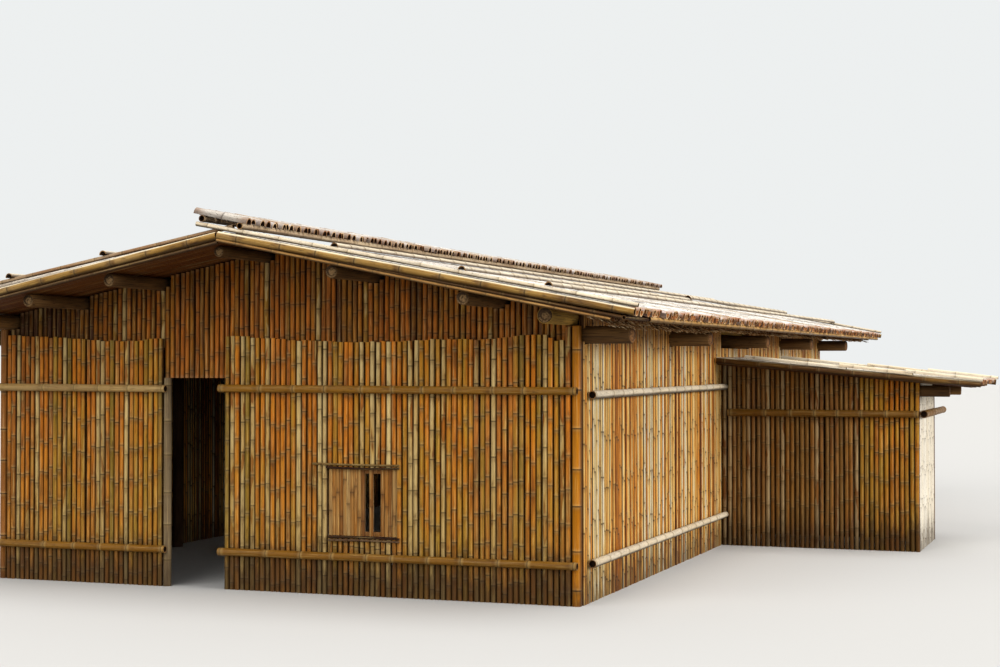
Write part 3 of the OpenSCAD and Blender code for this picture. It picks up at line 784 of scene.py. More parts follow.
@dataclass
class Stock:
    """A unit piece as arrays: its length is one ring a step, its radius 1."""

    ring: np.ndarray
    inner: np.ndarray
    turn: np.ndarray
    loops: np.ndarray
    totals: np.ndarray
    kinds: np.ndarray
    rings: int
    nodes: int
    per_node: int

    @classmethod
    def read(cls, bm: bmesh.types.BMesh, rings: int, nodes: int, per_node: int) -> Stock:
        """Takes a finished bmesh into arrays and frees it.

        Args:
            bm: the mesh, with the layers ring and inner.
            rings: number of outer rings.
            nodes: number of nodes.
            per_node: rings that each node takes.

        Returns:
            The stock.
        """
        bmesh.ops.recalc_face_normals(bm, faces=bm.faces[:])
        bm.verts.index_update()
        ring_layer = bm.verts.layers.int["ring"]
        inner_layer = bm.verts.layers.float["inner"]
        ring = np.array([v[ring_layer] for v in bm.verts])
        inner = np.array([v[inner_layer] for v in bm.verts])
        turn = np.array([math.atan2(v.co.y, v.co.x) for v in bm.verts])
        # bmesh may list the faces in another order each run, so they are put in one order
        rounds = []
        for face in bm.faces:
            index = [v.index for v in face.verts]
            first = index.index(min(index))
            rounds.append(index[first:] + index[:first])
        loops, totals, kinds = [], [], []
        for index in sorted(rounds):
            loops += index
            totals.append(len(index))
            insides = inner[index]
            flat = len(set(ring[index])) == 1
            if insides.min() > 0.5:
                kinds.append(Face.HOLLOW.value)
            elif insides.max() > 0.5 or flat:
                kinds.append(Face.CUT.value)
            else:
                kinds.append(Face.SKIN.value)
        bm.free()
        faces = (np.array(values) for values in (loops, totals, kinds))
        return cls(ring, inner, turn, *faces, rings, nodes, per_node)


def outer_edges(new: list, chosen: set) -> list:
    """Picks those edges of an extrusion's new geometry whose two ends are both chosen vertices."""
    return [e for e in new if isinstance(e, bmesh.types.BMEdge) and chosen.issuperset(e.verts)]


def pole_stock(
    sides: int, nodes: int, per_node: int = 3, open_tip: bool = True, open_foot: bool = False,
    plain: int = 0,
) -> Stock:
    """Makes a closed round pole, with a hollow let into its open ends.

    Args:
        sides: faces round it.
        nodes: number of nodes.
        per_node: rings that each node takes.
        open_tip: the tip shows its hollow.
        open_foot: the foot shows its hollow.
        plain: rings between the ends of a pole without nodes.

    Returns:
        The stock.
    """
    rings = 2 + (nodes * per_node if nodes else plain)
    bm = bmesh.new()
    ring_layer = bm.verts.layers.int.new("ring")
    inner_layer = bm.verts.layers.float.new("inner")
    bmesh.ops.create_circle(bm, cap_ends=False, radius=1.0, segments=sides)
    first = list(bm.edges)
    rim = first
    for ring in range(1, rings):
        made = bmesh.ops.extrude_edge_only(bm, edges=rim)["geom"]
        fresh = {v for v in made if isinstance(v, bmesh.types.BMVert)}
        rim = outer_edges(made, fresh)
        bmesh.ops.translate(bm, verts=list(fresh), vec=(0.0, 0.0, 1.0))
        for v in fresh:
            v[ring_layer] = ring
    for edges, ring, opened, way in ((rim, rings - 1, open_tip, -1.0), (first, 0, open_foot, 1.0)):
        for depth in ((0.0, way) if opened else ()):
            made = bmesh.ops.extrude_edge_only(bm, edges=edges)["geom"]
            fresh = {v for v in made if isinstance(v, bmesh.types.BMVert)}
            edges = outer_edges(made, fresh)
            if depth:
                bmesh.ops.translate(bm, verts=list(fresh), vec=(0.0, 0.0, depth * 0.5))
                ring = rings if way < 0 else rings + 1
            else:
                bmesh.ops.scale(bm, verts=list(fresh), vec=(0.8, 0.8, 1.0))
            for v in fresh:
                v[ring_layer] = ring
                v[inner_layer] = 1.0
        bmesh.ops.contextual_create(bm, geom=edges)
    return Stock.read(bm, rings, nodes, per_node)


def half_stock(segments: int, nodes: int) -> Stock:
    """Makes a closed half culm by spinning its wall through half a turn and drawing that out.

    Args:
        segments: faces over the arch.
        nodes: number of nodes, of two rings each.

    Returns:
        The stock.
    """
    rings = 2 + nodes * 2
    bm = bmesh.new()
    ring_layer = bm.verts.layers.int.new("ring")
    inner_layer = bm.verts.layers.float.new("inner")
    outside = bm.verts.new((1.0, 0.0, 0.0))
    inside = bm.verts.new((0.8, 0.0, 0.0))
    inside[inner_layer] = 1.0
    wall = [outside, inside, bm.edges.new((outside, inside))]
    bmesh.ops.spin(
        bm, geom=wall, cent=(0, 0, 0), axis=(0, 0, 1), angle=math.pi, steps=segments, use_duplicate=False,
    )
    for v in bm.verts:
        v[inner_layer] = 1.0 if v.co.length < 0.9 else 0.0
    cap = list(bm.faces)
    for ring in range(1, rings):
        made = bmesh.ops.extrude_face_region(bm, geom=cap, use_keep_orig=ring == 1)["geom"]
        fresh = [v for v in made if isinstance(v, bmesh.types.BMVert)]
        cap = [f for f in made if isinstance(f, bmesh.types.BMFace)]
        bmesh.ops.translate(bm, verts=fresh, vec=(0.0, 0.0, 1.0))
        for v in fresh:
            v[ring_layer] = ring
    return Stock.read(bm, rings, nodes, 2)


class NodeRing(NamedTuple):
    """One ring of a culm's node.

    Its place and its count are in half heights of the node, from its middle. Its width has a plain part and
    a share of the node's swell.
    """

    place: float
    count: float
    width: float
    swell: float


NODE_RINGS = {
    2: (NodeRing(-1.0, -1.0, 0.97, 0.0), NodeRing(0.5, 0.0, 1.0, 0.7)),
    3: (NodeRing(-1.0, -1.0, 0.985, 0.0), NodeRing(0.0, 0.0, 1.0, 1.0), NodeRing(1.0, 1.0, 1.0, 0.0)),
}
NODE_HALF = 0.008
HOLLOW_DEPTH = 0.05
ATTRIBUTES = (
    ("grain", "FLOAT_VECTOR", "vector"), ("mark", "FLOAT_COLOR", "color"), ("joint_dirt_and_shade", "FLOAT", "value"),
    ("crown", "FLOAT", "value"), ("tip", "FLOAT", "value"),
)


def each(value: Numbers, count: int) -> np.ndarray:
    """Gives every pole its number."""
    return np.broadcast_to(np.asarray(value, float), (count,))


@dataclass
class Bundle:
    """Many poles of one kind, joined into one mesh."""

    name: str
    materials: Finish
    seed: int
    arrays: dict[str, list[np.ndarray]] = field(default_factory=lambda: defaultdict(list))
    count: int = 0

    def __post_init__(self) -> None:
        """Starts the bundle's own random numbers."""
        self.rng = np.random.default_rng(self.seed)

    def rings_of(
        self, stock: Stock, length: np.ndarray, bulge: float, knuckle: float,
    ) -> tuple[np.ndarray, ...]:
        """Spreads the nodes along each pole.

        Args:
            stock: the unit pole.
            length: the poles' lengths.
            bulge: how far a node stands out, as a share of the radius.
            knuckle: distance of the first and last node from the ends, or 0 for anywhere.

        Returns:
            Place, width and node count of each ring of each pole.
        """
        k, rings, last = len(length), stock.rings, stock.rings - 1
        place = np.zeros((k, rings + 2))
        width = np.ones((k, rings + 2))
        number = np.full((k, rings + 2), 0.5)
        depth = np.minimum(HOLLOW_DEPTH, 0.3 * length)
        place[:, last] = length
        place[:, rings] = length - depth
        place[:, rings + 1] = depth
        if stock.nodes:
            spacing = (length / stock.nodes)[:, None]
            phase = self.rng.uniform(0.2, 0.8, (k, 1))
            at = (np.arange(stock.nodes) + phase + self.rng.normal(0, 0.05, (k, stock.nodes))) / stock.nodes
            at = np.clip(at, 0.02, 0.98) * length[:, None]
            if knuckle:
                at[:, 0], at[:, -1] = knuckle, length - knuckle
            half = np.minimum(NODE_HALF, 0.1 * spacing)
            swell = bulge * self.rng.uniform(0.5, 1.4, (k, stock.nodes))
            whole = np.arange(1, stock.nodes + 1)[None, :]
            for index, ring in enumerate(NODE_RINGS[stock.per_node], 1):
                some = slice(index, last, stock.per_node)
                place[:, some] = at + ring.place * half
                width[:, some] = ring.width + ring.swell * swell
                number[:, some] = whole + ring.count * half / spacing
            number[:, 0] = 1.0 - at[:, 0] / spacing[:, 0]
            number[:, last] = stock.nodes + (length - at[:, -1]) / spacing[:, 0]
        elif rings > 2:
            place[:, 1:last] = np.linspace(0, 1, rings)[None, 1:-1] * length[:, None]
        return place, width, number

    def add(
        self, stock: Stock, foot: np.ndarray, tip: np.ndarray, radius: Numbers, *, up: Way = (0.0, 0.0, 1.0),
        taper: Numbers = 1.0, turn: Numbers | None = None, bow: float = 0.0, wall: float = 0.2,
        bulge: float = 0.06, tone: Numbers | None = None, lump: float = 0.0, squash: float = 1.0,
        rounded: float = 0.0, knuckle: float = 0.0, slant: float = 0.0, dress: int = 0,
    ) -> None:
        """Lays poles from their feet to their tips.

        Args:
            stock: the unit pole.
            foot: one foot a pole.
            tip: one tip a pole.
            radius: radius at the foot.
            up: direction in which a half culm's arch or a pole's front points.
            taper: radius at the tip as a share of that at the foot.
            turn: angle about the pole's axis; random if left out.
            bow: typical sideways bow in metres.
            wall: thickness of the culm's wall as a share of the radius.
            bulge: how far a node stands out.
            tone: colour number of each pole; random if left out.
            lump: unevenness of a log.
            squash: height of the section as a share of its width.
            rounded: how far the end rings draw in, for logs.
            knuckle: distance of the first and last node from the ends, or 0 for anywhere.
            slant: slope of an oblique cut at the tip, across the pole.
            dress: number of the set of materials.
        """
        foot, tip = np.atleast_2d(foot).astype(float), np.atleast_2d(tip).astype(float)
        k = len(foot)
        rng = self.rng
        axis = tip - foot
        length = np.linalg.norm(axis, axis=1)
        axis /= length[:, None]
        side = np.cross(axis, np.broadcast_to(np.array(up, float), axis.shape))
        side /= np.linalg.norm(side, axis=1)[:, None]
        top = np.cross(side, axis)
        place, width, number = self.rings_of(stock, length, bulge, knuckle)
        if rounded:
            width[:, 0] = width[:, stock.rings - 1] = 1.0 - rounded
            place[:, 1] = rounded * 0.08
            place[:, stock.rings - 2] = length - rounded * 0.08
        spin = rng.uniform(0, 2 * math.pi, k) if turn is None else each(turn, k)
        s = place[:, stock.ring]
        share = s / length[:, None]
        narrow = 1.0 - (1.0 - each(taper, k)[:, None]) * share
        r = each(radius, k)[:, None] * narrow * width[:, stock.ring]
        theta = stock.turn[None, :] + spin[:, None]
        if lump:
            a, b, c = rng.uniform(0, 6.28, (3, k, 1))
            wave = np.sin(2 * theta + a + 1.3 * s) + 0.7 * np.sin(3 * theta + b - 2.1 * s)
            wave = wave + 0.5 * np.sin(theta + c + 4.3 * s)
            r = r * (1.0 - lump * (0.55 - 0.25 * wave))
        r = r * (1.0 - wall * stock.inner[None, :])
        middle = np.sin(math.pi * share)
        sway = middle * rng.normal(0, bow, (k, 1)) if bow else 0.0
        lift = middle * rng.normal(0, bow * 0.3, (k, 1)) if bow else 0.0
        across = np.cos(theta) * r + sway
        upward = np.sin(theta) * r * squash + lift
        spot = foot[:, None, :] + axis[:, None, :] * s[..., None]
        spot = spot + side[:, None, :] * across[..., None] + top[:, None, :] * upward[..., None]
        if slant:
            back = slant * across * (stock.ring >= stock.rings - 2)
            spot = spot - axis[:, None, :] * back[..., None]
        shift = rng.uniform(0, 60, (k, 1))
        plain = stock.turn[None, :]
        mark = np.ones((k, len(stock.ring), 4))
        mark[..., 0] = (rng.uniform(0, 1, k) if tone is None else each(tone, k))[:, None]
        mark[..., 1] = rng.uniform(0, 1, (k, 1))
        mark[..., 2] = number[:, stock.ring]
        mark[..., 3] = (length / max(stock.nodes, 1))[:, None]
        offsets = self.count + np.arange(k) * len(stock.ring)
        self.count += k * len(stock.ring)
        for name, values in (
            ("co", spot), ("grain", np.stack([np.cos(plain) * r, np.sin(plain) * r, s + shift], axis=-1)),
            ("mark", mark), ("joint_dirt_and_shade", np.abs(np.cos(theta)) + np.zeros_like(s)),
            ("crown", np.sin(theta) + np.zeros_like(s)), ("tip", np.minimum(s, length[:, None] - s)),
            ("loops", stock.loops[None, :] + offsets[:, None]), ("totals", np.tile(stock.totals, k)),
            ("kinds", np.tile(stock.kinds + dress * len(Face), k)),
        ):
            self.arrays[name].append(values.ravel())

    def build(self, slot: str, *nodes: str) -> None:
        """Makes the object and puts it in the frame.

        Args:
            slot: not used.
            nodes: the CAD nodes that it stands for.
        """
        joined = {name: np.concatenate(rows) for name, rows in self.arrays.items()}
        totals = joined["totals"]
        mesh = bpy.data.meshes.new(self.name)
        mesh.vertices.add(self.count)
        mesh.vertices.foreach_set("co", joined["co"])
        mesh.loops.add(len(joined["loops"]))
        mesh.loops.foreach_set("vertex_index", joined["loops"].astype(np.int32))
        mesh.polygons.add(len(totals))
        mesh.polygons.foreach_set("loop_start", (np.cumsum(totals) - totals).astype(np.int32))
        for material in self.materials:
            mesh.materials.append(material)
        mesh.polygons.foreach_set("material_index", joined["kinds"].astype(np.int32))
        mesh.polygons.foreach_set("use_smooth", np.ones(len(totals), bool))
        mesh.update(calc_edges=True)
        for name, kind, key in ATTRIBUTES:
            mesh.attributes.new(name, kind, "POINT").data.foreach_set(key, joined[name])
        mesh.set_sharp_from_angle(angle=math.radians(62))
        piece = bpy.data.objects.new(self.name, mesh)
        bpy.context.scene.collection.objects.link(piece)
        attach(piece, ROOT)
        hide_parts(*nodes)
        log.info("%s: %d faces, %d triangles", self.name, len(totals), int((totals - 2).sum()))


def row(low: float, high: float, d: float, lap: float) -> np.ndarray:
    """Centres of a row of culms, of diameter d and with a given lap, that fills the way from low to high."""
    count = max(1, math.ceil((high - low - d) / (d - lap)))
    return np.linspace(low + d / 2, high - d / 2, count + 1)


def spots(x: Numbers, y: Numbers, z: Numbers) -> np.ndarray:
    """Joins coordinates into points, each given for every point or once for all."""
    return np.stack([a.astype(float) for a in np.broadcast_arrays(x, y, z)], axis=-1)


def word_of(side: int) -> str:
    """Says on which side of the ridge a piece lies."""
    return "right" if side > 0 else "left"


@dataclass(frozen=True)
class Plan:
    """Sizes of the house in metres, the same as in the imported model; culm_r is a drawn culm's radius."""

    side_x: float = 3.022
    room_l: float = 12.4
    gap: float = 0.0003
    culm_d: float = 0.056
    culm_r: float = 0.0272
    culm_lap: float = 0.002
    infill_y: float = 0.0563
    infill_z: float = 2.29
    corner_x: float = 2.9937
    gable_half: float = 2.9484
    side_start: float = 0.0623
    side_h: float = 2.598
    post_h: float = 2.3137
    door_left: float = 1.09
    door_right: float = 0.5
    door_h: float = 2.0
    jamb_d: float = 0.08
    window_left: float = 0.6
    window_right: float = 1.3
    window_z: float = 0.548
    window_top: float = 1.168
    rail_d: float = 0.08
    beam_z: float = 2.394
    beam_d: float = 0.16
    beam_end: float = 3.462
    pitch: float = math.radians(11.4)
    apex: float = 3.2146
    tile_x: float = 3.8
    sheath_x: float = 3.62
    sheath_y: float = -1.018
    tile_y: float = -1.0097
    tile_r: float = 0.05
    tile_count: int = 136
    verge_top_n: float = 0.1216
    hold_n: float = 0.1439
    hold_y: float = -0.9997
    cap_n: float = 0.2102
    eave_lift: float = 0.05
    annex_y: float = 5.54
    annex_rear_y: float = 7.05
    annex_x: float = 5.3
    annex_in_x: float = 3.0503
    annex_pitch: float = math.radians(5.0)
    annex_apex: float = 2.3821

    @property
    def beam_ys(self) -> np.ndarray:
        """Places of the cross-beams along the room."""
        first = self.infill_y + self.culm_d / 2 + self.beam_d / 2 + self.gap
        return np.linspace(first, self.room_l - first, 5)

    @property
    def purlins(self) -> tuple[tuple[float, float, float], ...]:
        """Each purlin's X, diameter and overhang past the gable wall."""
        return (
            (-1.23, 0.124, 0.87), (-2.105, 0.124, 0.87), (-2.9187, 0.15, 0.65), (-0.09, 0.105, 0.87),
            (1.025, 0.124, 0.87), (2.255, 0.124, 0.87), (2.9187, 0.15, 0.65),
        )

    def under_z(self, x: Numbers) -> Numbers:
        """Height of the sheathing's underside at a distance from the ridge line, to either side."""
        return self.apex - math.tan(self.pitch) * np.abs(x)

    def purlin_z(self, x: float, d: float) -> float:
        """Height of the centre of a purlin at a given X, of a given diameter."""
        return float(self.under_z(x)) - (d / 2 + self.gap) / math.cos(self.pitch)


PLAN = Plan()


@dataclass(frozen=True)
class Slope:
    """Coordinates of one roof slope: down the slope, along the roof, and along the normal."""

    side: int
    apex: float = PLAN.apex
    pitch: float = PLAN.pitch

    def at(self, s: Numbers, y: Numbers, n: Numbers) -> np.ndarray:
        """Points of the slope in the frame.

        Args:
            s: distance down the slope.
            y: place along the roof.
            n: distance along the normal.

        Returns:
            The points.
        """
        s, y, n = np.broadcast_arrays(s, y, n)
        c, q = math.cos(self.pitch), math.sin(self.pitch)
        return spots(self.side * (s * c + n * q), y, self.apex - s * q + n * c)

    def down(self, x: Numbers, n: Numbers = 0.0) -> Numbers:
        """Distance down the slope to a distance from the ridge line, at a distance along the normal."""
        return (x - n * math.sin(self.pitch)) / math.cos(self.pitch)

    @property
    def normal(self) -> Way:
        """The slope's normal."""
        return (self.side * math.sin(self.pitch), 0.0, math.cos(self.pitch))


@dataclass
class GableWall:
    """A gable wall: outer culms with uneven tops and inner culms that fill the gable."""

    palette: Palette
    front: bool
    sides: int = 12
    nodes: int = 8
    tops: tuple[tuple[float, float], ...] = (
        (-3.02, 2.42), (-2.36, 2.394), (-1.85, 2.36), (-1.47, 2.36), (-1.24, 2.38), (-0.39, 2.396),
        (0.03, 2.372), (0.28, 2.352), (0.80, 2.336), (1.19, 2.341), (1.68, 2.356), (2.19, 2.358),
        (2.55, 2.39), (2.69, 2.391), (2.78, 2.36), (2.81, 2.339), (2.90, 2.347), (2.91, 2.466),
        (2.95, 2.466),
    )
    rear_top: float = 2.395
    pale_outer: tuple[float, ...] = (
        -2.27, -1.88, -1.6, -0.29, -0.18, -0.02, 0.28, 0.5, 0.56, 0.92, 1.07, 1.19, 1.41, 1.74, 2.2, 2.71,
    )
    pale_inner: tuple[float, ...] = (-1.64, -1.19, -0.06, 0.46)
    over_door: tuple[float, float] = (-1.17, -0.47)

    def line(self, y: Numbers) -> Numbers:
        """Mirrors a place along the room for the rear wall."""
        return y if self.front else PLAN.room_l - y

    def stock(self, sides: int, nodes: int) -> Stock:
        """Makes a unit culm, plainer for the rear wall."""
        return pole_stock(sides, nodes, 3 if self.front else 2)

    def tones(self, x: np.ndarray, rng: np.random.Generator) -> np.ndarray:
        """Colour numbers that drift along the wall, with some pale culms.

        Args:
            x: places of the culms.
            rng: random numbers.

        Returns:
            The colour numbers.
        """
        drift = 0.40 + 0.1 * np.sin(x * 1.7 + 0.6) + rng.normal(0, 0.2, len(x))
        pale = rng.uniform(0, 1, len(x)) < (0.05 if self.front else 0.17)
        if self.front:
            pale |= self.nearest(x, self.pale_outer)
        return np.where(pale, rng.uniform(0.82, 1.0, len(x)), np.clip(drift, 0.0, 0.76))

    @staticmethod
    def nearest(x: np.ndarray, places: tuple[float, ...]) -> np.ndarray:
        """Marks the culms that stand at given places."""
        return np.abs(x[:, None] - np.array(places)[None, :]).min(axis=1) < 0.0271

    def upright(
        self, bundle: Bundle, stock: Stock, x: np.ndarray, low: Numbers, high: Numbers, y: float,
        tone: np.ndarray,
    ) -> None:
        """Stands culms side by side.

        Args:
            bundle: where they go.
            stock: the unit culm.
            x: their places.
            low: heights of their feet.
            high: heights of their tops.
            y: the row's place along the room.
            tone: their colour numbers.
        """
        rng = bundle.rng
        k = len(x)
        lean = rng.normal(0, 0.0022, k)
        widths = (0.93, 1.05) if self.front else (1.01, 1.06)
        radius = PLAN.culm_r * rng.uniform(*widths, k)
        foot = spots(x, self.line(y + rng.normal(0, 0.0015, k)), low)
        tip = spots(x + lean, self.line(y + rng.normal(0, 0.0015, k)), high)
        taper = rng.uniform(0.9, 1.02, k) if self.front else 1.0
        out = (0.0, -1.0 if self.front else 1.0, 0.0)
        bow = 0.003 if self.front else 0.001
        bundle.add(stock, foot, tip, radius, up=out, taper=taper, bow=bow, bulge=0.04, tone=tone)

    def outer(self, name: str, low: float, high: float, seed: int) -> None:
        """Builds a length of outer culms.

        Args:
            name: the node.
            low: X of its left side.
            high: X of its right side.
            seed: random seed.
        """
        bundle = Bundle(name + "_culms", self.palette.wall, seed)
        rng = bundle.rng
        x = row(low, high, PLAN.culm_d, PLAN.culm_lap)
        places, heights = zip(*self.tops)
        top = np.interp(x, places, heights) + rng.normal(0, 0.004, len(x))
        if not self.front:
            top = self.rear_top + 0.018 * np.sin(x * 2.9) + rng.normal(0, 0.006, len(x))
        tone = self.tones(x, rng)
        if self.front:
            tone[x > 2.91] = 0.72
        split = (x > PLAN.window_left) & (x < PLAN.window_right) & self.front
        stock = self.stock(self.sides, self.nodes)
        self.upright(bundle, stock, x[~split], 0.0, top[~split], 0.0, tone[~split])
        if split.any():
            x, top, tone = x[split], top[split], tone[split]
            ends = rng.uniform(0, 0.008, len(x))
            self.upright(bundle, self.stock(self.sides, 2), x, 0.0, PLAN.window_z - ends, 0.0, tone)
            self.upright(bundle, self.stock(self.sides, 4), x, PLAN.window_top + ends, top, 0.0, tone)
        bundle.build("wall_culm", name)

    @staticmethod
    def roof_line(x: np.ndarray) -> np.ndarray:
        """Heights at which inner culms meet the sheathing or a purlin.

        Args:
            x: places of the culms.

        Returns:
            The heights.
        """
        top = PLAN.under_z(np.abs(x) + 0.02) - 0.002
        for place, d, _ in PLAN.purlins:
            near = np.maximum(np.abs(x - place) - 0.02, 0.0)
            r = d / 2
            under = PLAN.purlin_z(place, d) - np.sqrt(np.maximum(r * r - near * near, 0.0))
            top = np.where(near < r, np.minimum(top, under - 0.001), top)
        return top

    def inner(self, name: str, seed: int) -> None:
        """Builds the inner culms.

        Args:
            name: the node.
            seed: random seed.
        """
        bundle = Bundle(name + "_culms", self.palette.gable, seed)
        rng = bundle.rng
        x = row(-PLAN.gable_half, PLAN.gable_half, PLAN.culm_d, PLAN.culm_lap)
        low = np.full(len(x), PLAN.infill_z)
        if self.front:
            low[(x > self.over_door[0]) & (x < self.over_door[1])] = PLAN.door_h
        tone = np.clip(rng.normal(0.5, 0.22, len(x)), 0, 0.93)
        tone[self.nearest(x, self.pale_inner) if self.front else rng.uniform(0, 1, len(x)) < 0.07] = 1.0
        # painted shade: the culms grow darker toward the left corner
        tone = np.where((x < -1.4) & (tone < 0.9), tone * np.interp(x, (-2.4, -1.4), (0.05, 0.9)), tone)
        top = self.roof_line(x)
        tall = top - low > 0.45
        for some, nodes in ((tall, 3), (~tall, 1)):
            stock = self.stock(10, nodes)
            self.upright(bundle, stock, x[some], low[some], top[some], PLAN.infill_y, tone[some])
        bundle.build("gable_culm", name)

    def make(self) -> None:
        """Builds the wall."""
        if self.front:
            self.outer("front_wall_left", -PLAN.gable_half, -PLAN.door_left - PLAN.jamb_d, 11)
            self.outer("front_wall_right", -PLAN.door_right, PLAN.gable_half, 12)
            self.inner("front_gable", 13)
        else:
            self.outer("rear_wall", -PLAN.gable_half, PLAN.gable_half, 14)
            self.inner("rear_gable", 15)


@dataclass
class SideWall:
    """A long side wall of thinner bleached culms, cut round the cross-beams."""

    palette: Palette
    side: int
    stub_r: float = 0.0262

    def spans(self) -> list[tuple[float, float, float]]:
        """Splits the wall into lengths.

        Returns:
            Start, end and height of each.
        """
        start, end = PLAN.side_start, PLAN.room_l - PLAN.side_start
        if self.side < 0:
            return [(start, end, PLAN.side_h)]
        low = (PLAN.annex_y, PLAN.annex_rear_y, PLAN.post_h)
        return [(start, PLAN.annex_y, PLAN.side_h), low, (PLAN.annex_rear_y, end, PLAN.side_h)]

    def stretch(self, bundle: Bundle, start: float, end: float, height: float) -> None:
        """Stands one length of wall.

        Args:
            bundle: where it goes.
            start: first place along the room.
            end: last place along the room.
            height: its height.
        """
        rng = bundle.rng
        x = self.side * PLAN.side_x
        y = row(start, end, PLAN.culm_d, PLAN.culm_lap)
        k = len(y)
        near = np.abs(y[:, None] - PLAN.beam_ys[None, :]).min(axis=1)
        r = PLAN.beam_d / 2 + 0.001
        reach = np.maximum(near - PLAN.culm_d * 0.35, 0.0)
        cut = reach < r
        half = np.sqrt(np.maximum(r * r - reach * reach, 0.0))
        top = np.where(cut, np.minimum(height, PLAN.beam_z - half), height) - rng.uniform(0, 0.003, k)
        tone = np.clip(rng.normal(0.52, 0.34, k), 0, 1)
        shift = self.side * (rng.normal(0, 0.0025, k) - 0.002)
        foot = spots(x + shift, y, 0.0)
        tip = spots(x + shift, y + rng.normal(0, 0.002, k), top)
        radius = PLAN.culm_r * rng.uniform(0.84, 1.04, k)
        taper = rng.uniform(0.88, 1.0, k)
        out = (self.side, 0.0, 0.0)
        bundle.add(pole_stock(8, 6, 2), foot, tip, radius, up=out, taper=taper, bow=0.002, tone=tone)
        if height == PLAN.side_h and cut.any():
            foot = spots(x, y[cut], PLAN.beam_z + half[cut])
            bundle.add(pole_stock(8, 0), foot, spots(x, y[cut], height), self.stub_r, up=out, tone=tone[cut])

    def make(self) -> None:
        """Builds the wall."""
        name = "side_wall_" + word_of(self.side)
        bundle = Bundle(name + "_culms", self.palette.side, 21 + self.side)
        for start, end, height in self.spans():
            self.stretch(bundle, start, end, height)
        bundle.build("side_culm", name)


@dataclass
class Doorway:
    """The jamb post and the four corner poles."""

    palette: Palette
    jamb_y: float = 0.012
    jamb_r: float = 0.0385
    corner_y: float = 0.017
    corner_h: float = 2.473
    corner_r: float = 0.0425

    def make(self) -> None:
        """Builds both."""
        jamb = Bundle("door_jamb_pole", self.palette.grey, 31)
        x = -PLAN.door_left - PLAN.jamb_d / 2
        foot, tip = spots(x, self.jamb_y, 0.0), spots(x, self.jamb_y, PLAN.door_h - 0.001)
        jamb.add(pole_stock(20, 6), foot, tip, self.jamb_r, up=(0, -1, 0), bulge=0.04, lump=0.05)
        jamb.build("grey_pole", "door_jamb")
        corners = Bundle("corner_poles", self.palette.corner, 32)
        ys = (self.corner_y, PLAN.room_l - self.corner_y)
        x, y = np.array([(s * PLAN.corner_x, y) for s in (-1, 1) for y in ys]).T
        # the front left pole is brown, the others orange
        tone = np.where((x > 0) | (y > 1.0), 0.2, 0.9)
        foot, tip = spots(x, y, 0.0), spots(x, y, self.corner_h)
        corners.add(pole_stock(18, 7), foot, tip, self.corner_r, up=(0, -1, 0), bulge=0.05, tone=tone)
        corners.build("corner_culm", "corner_posts")


@dataclass
class Window:
    """The panel of slats with two slots, and the thin poles that hold it."""

    palette: Palette
    slots: tuple[tuple[float, float], ...] = ((0.954, 0.997), (1.035, 1.108))
    slat_d: float = 0.044
    stub_d: float = 0.034
    stub_r: float = 0.0168
    lap: float = 0.004
    stub: float = 0.042
    low_z: float = PLAN.window_z + 0.001
    high_z: float = PLAN.window_top - 0.001
    twig_y: float = -0.0413
    twig_r: float = 0.0128
    twig_end: float = 1.316
    # the tone 0 twigs are near-black: dark bark, and painted shade
    twigs: tuple[tuple[float, int, float, float], ...] = (
        (PLAN.window_z - 0.026, -1, 0.6, 0.5), (PLAN.window_z - 0.026, 1, 0.6, 0.0),
        (PLAN.window_top + 0.026, -1, 0.58, 0.0), (PLAN.window_top + 0.026, 1, 0.44, 1.0),
    )

    def slats(self) -> None:
        """Builds the panel: slats back to back, and stubs that close each slot at both ends."""
        panel = Bundle("window_slats", self.palette.slat, 41)
        rng = panel.rng
        edges = [PLAN.window_left - 0.016, *self.slots[0], *self.slots[1], PLAN.window_right + 0.008]
        slat, stub = half_stock(6, 1), half_stock(6, 0)
        look = {"turn": 0.0, "wall": 0.35}
        for low, high in zip(edges[::2], edges[1::2]):
            x = row(low, high, self.slat_d, self.lap)
            foot, back = spots(x, 0.006, self.low_z), spots(x + 0.002, 0.007, self.low_z)
            tip = spots(x, 0.006, self.high_z - rng.uniform(0, 0.006, len(x)))
            half = min(0.0222, (high - low) / 2)
            radius = half * rng.uniform(0.92, 1.0, len(x))
            panel.add(slat, foot, tip, radius, up=(0, -1, 0), squash=0.45, bow=0.0015, **look)
            tip = spots(x + 0.002, 0.007, self.high_z)
            panel.add(slat, back, tip, half * 0.98, up=(0, 1, 0), squash=0.4, **look)
        for low, high in self.slots:
            x = row(low - 0.006, high + 0.006, self.stub_d, self.lap)
            for z, length in ((self.low_z, self.stub), (PLAN.window_top - self.stub, self.stub - 0.002)):
                foot = spots(x, 0.011, z)
                tip = foot + (0, 0, length)
                panel.add(stub, foot, tip, self.stub_r, up=(0, -1, 0), squash=0.45, tone=0.3, **look)
        panel.build("slat", "window_panel")

    def make(self) -> None:
        """Builds both."""
        self.slats()
        twigs = Bundle("window_twigs", self.palette.twig, 42)
        stock = pole_stock(10, 6, open_tip=False)
        look = {"up": (0, -1, 0), "bow": 0.005, "bulge": 0.12, "lump": 0.2, "taper": 0.85}
        for z, way, start, tone in self.twigs:
            height = z + way * 0.0131
            foot = spots(start, self.twig_y, height + 0.002 * way)
            twigs.add(stock, foot, spots(self.twig_end, self.twig_y, height), self.twig_r, tone=tone, **look)
        twigs.build("twig", "window_poles")


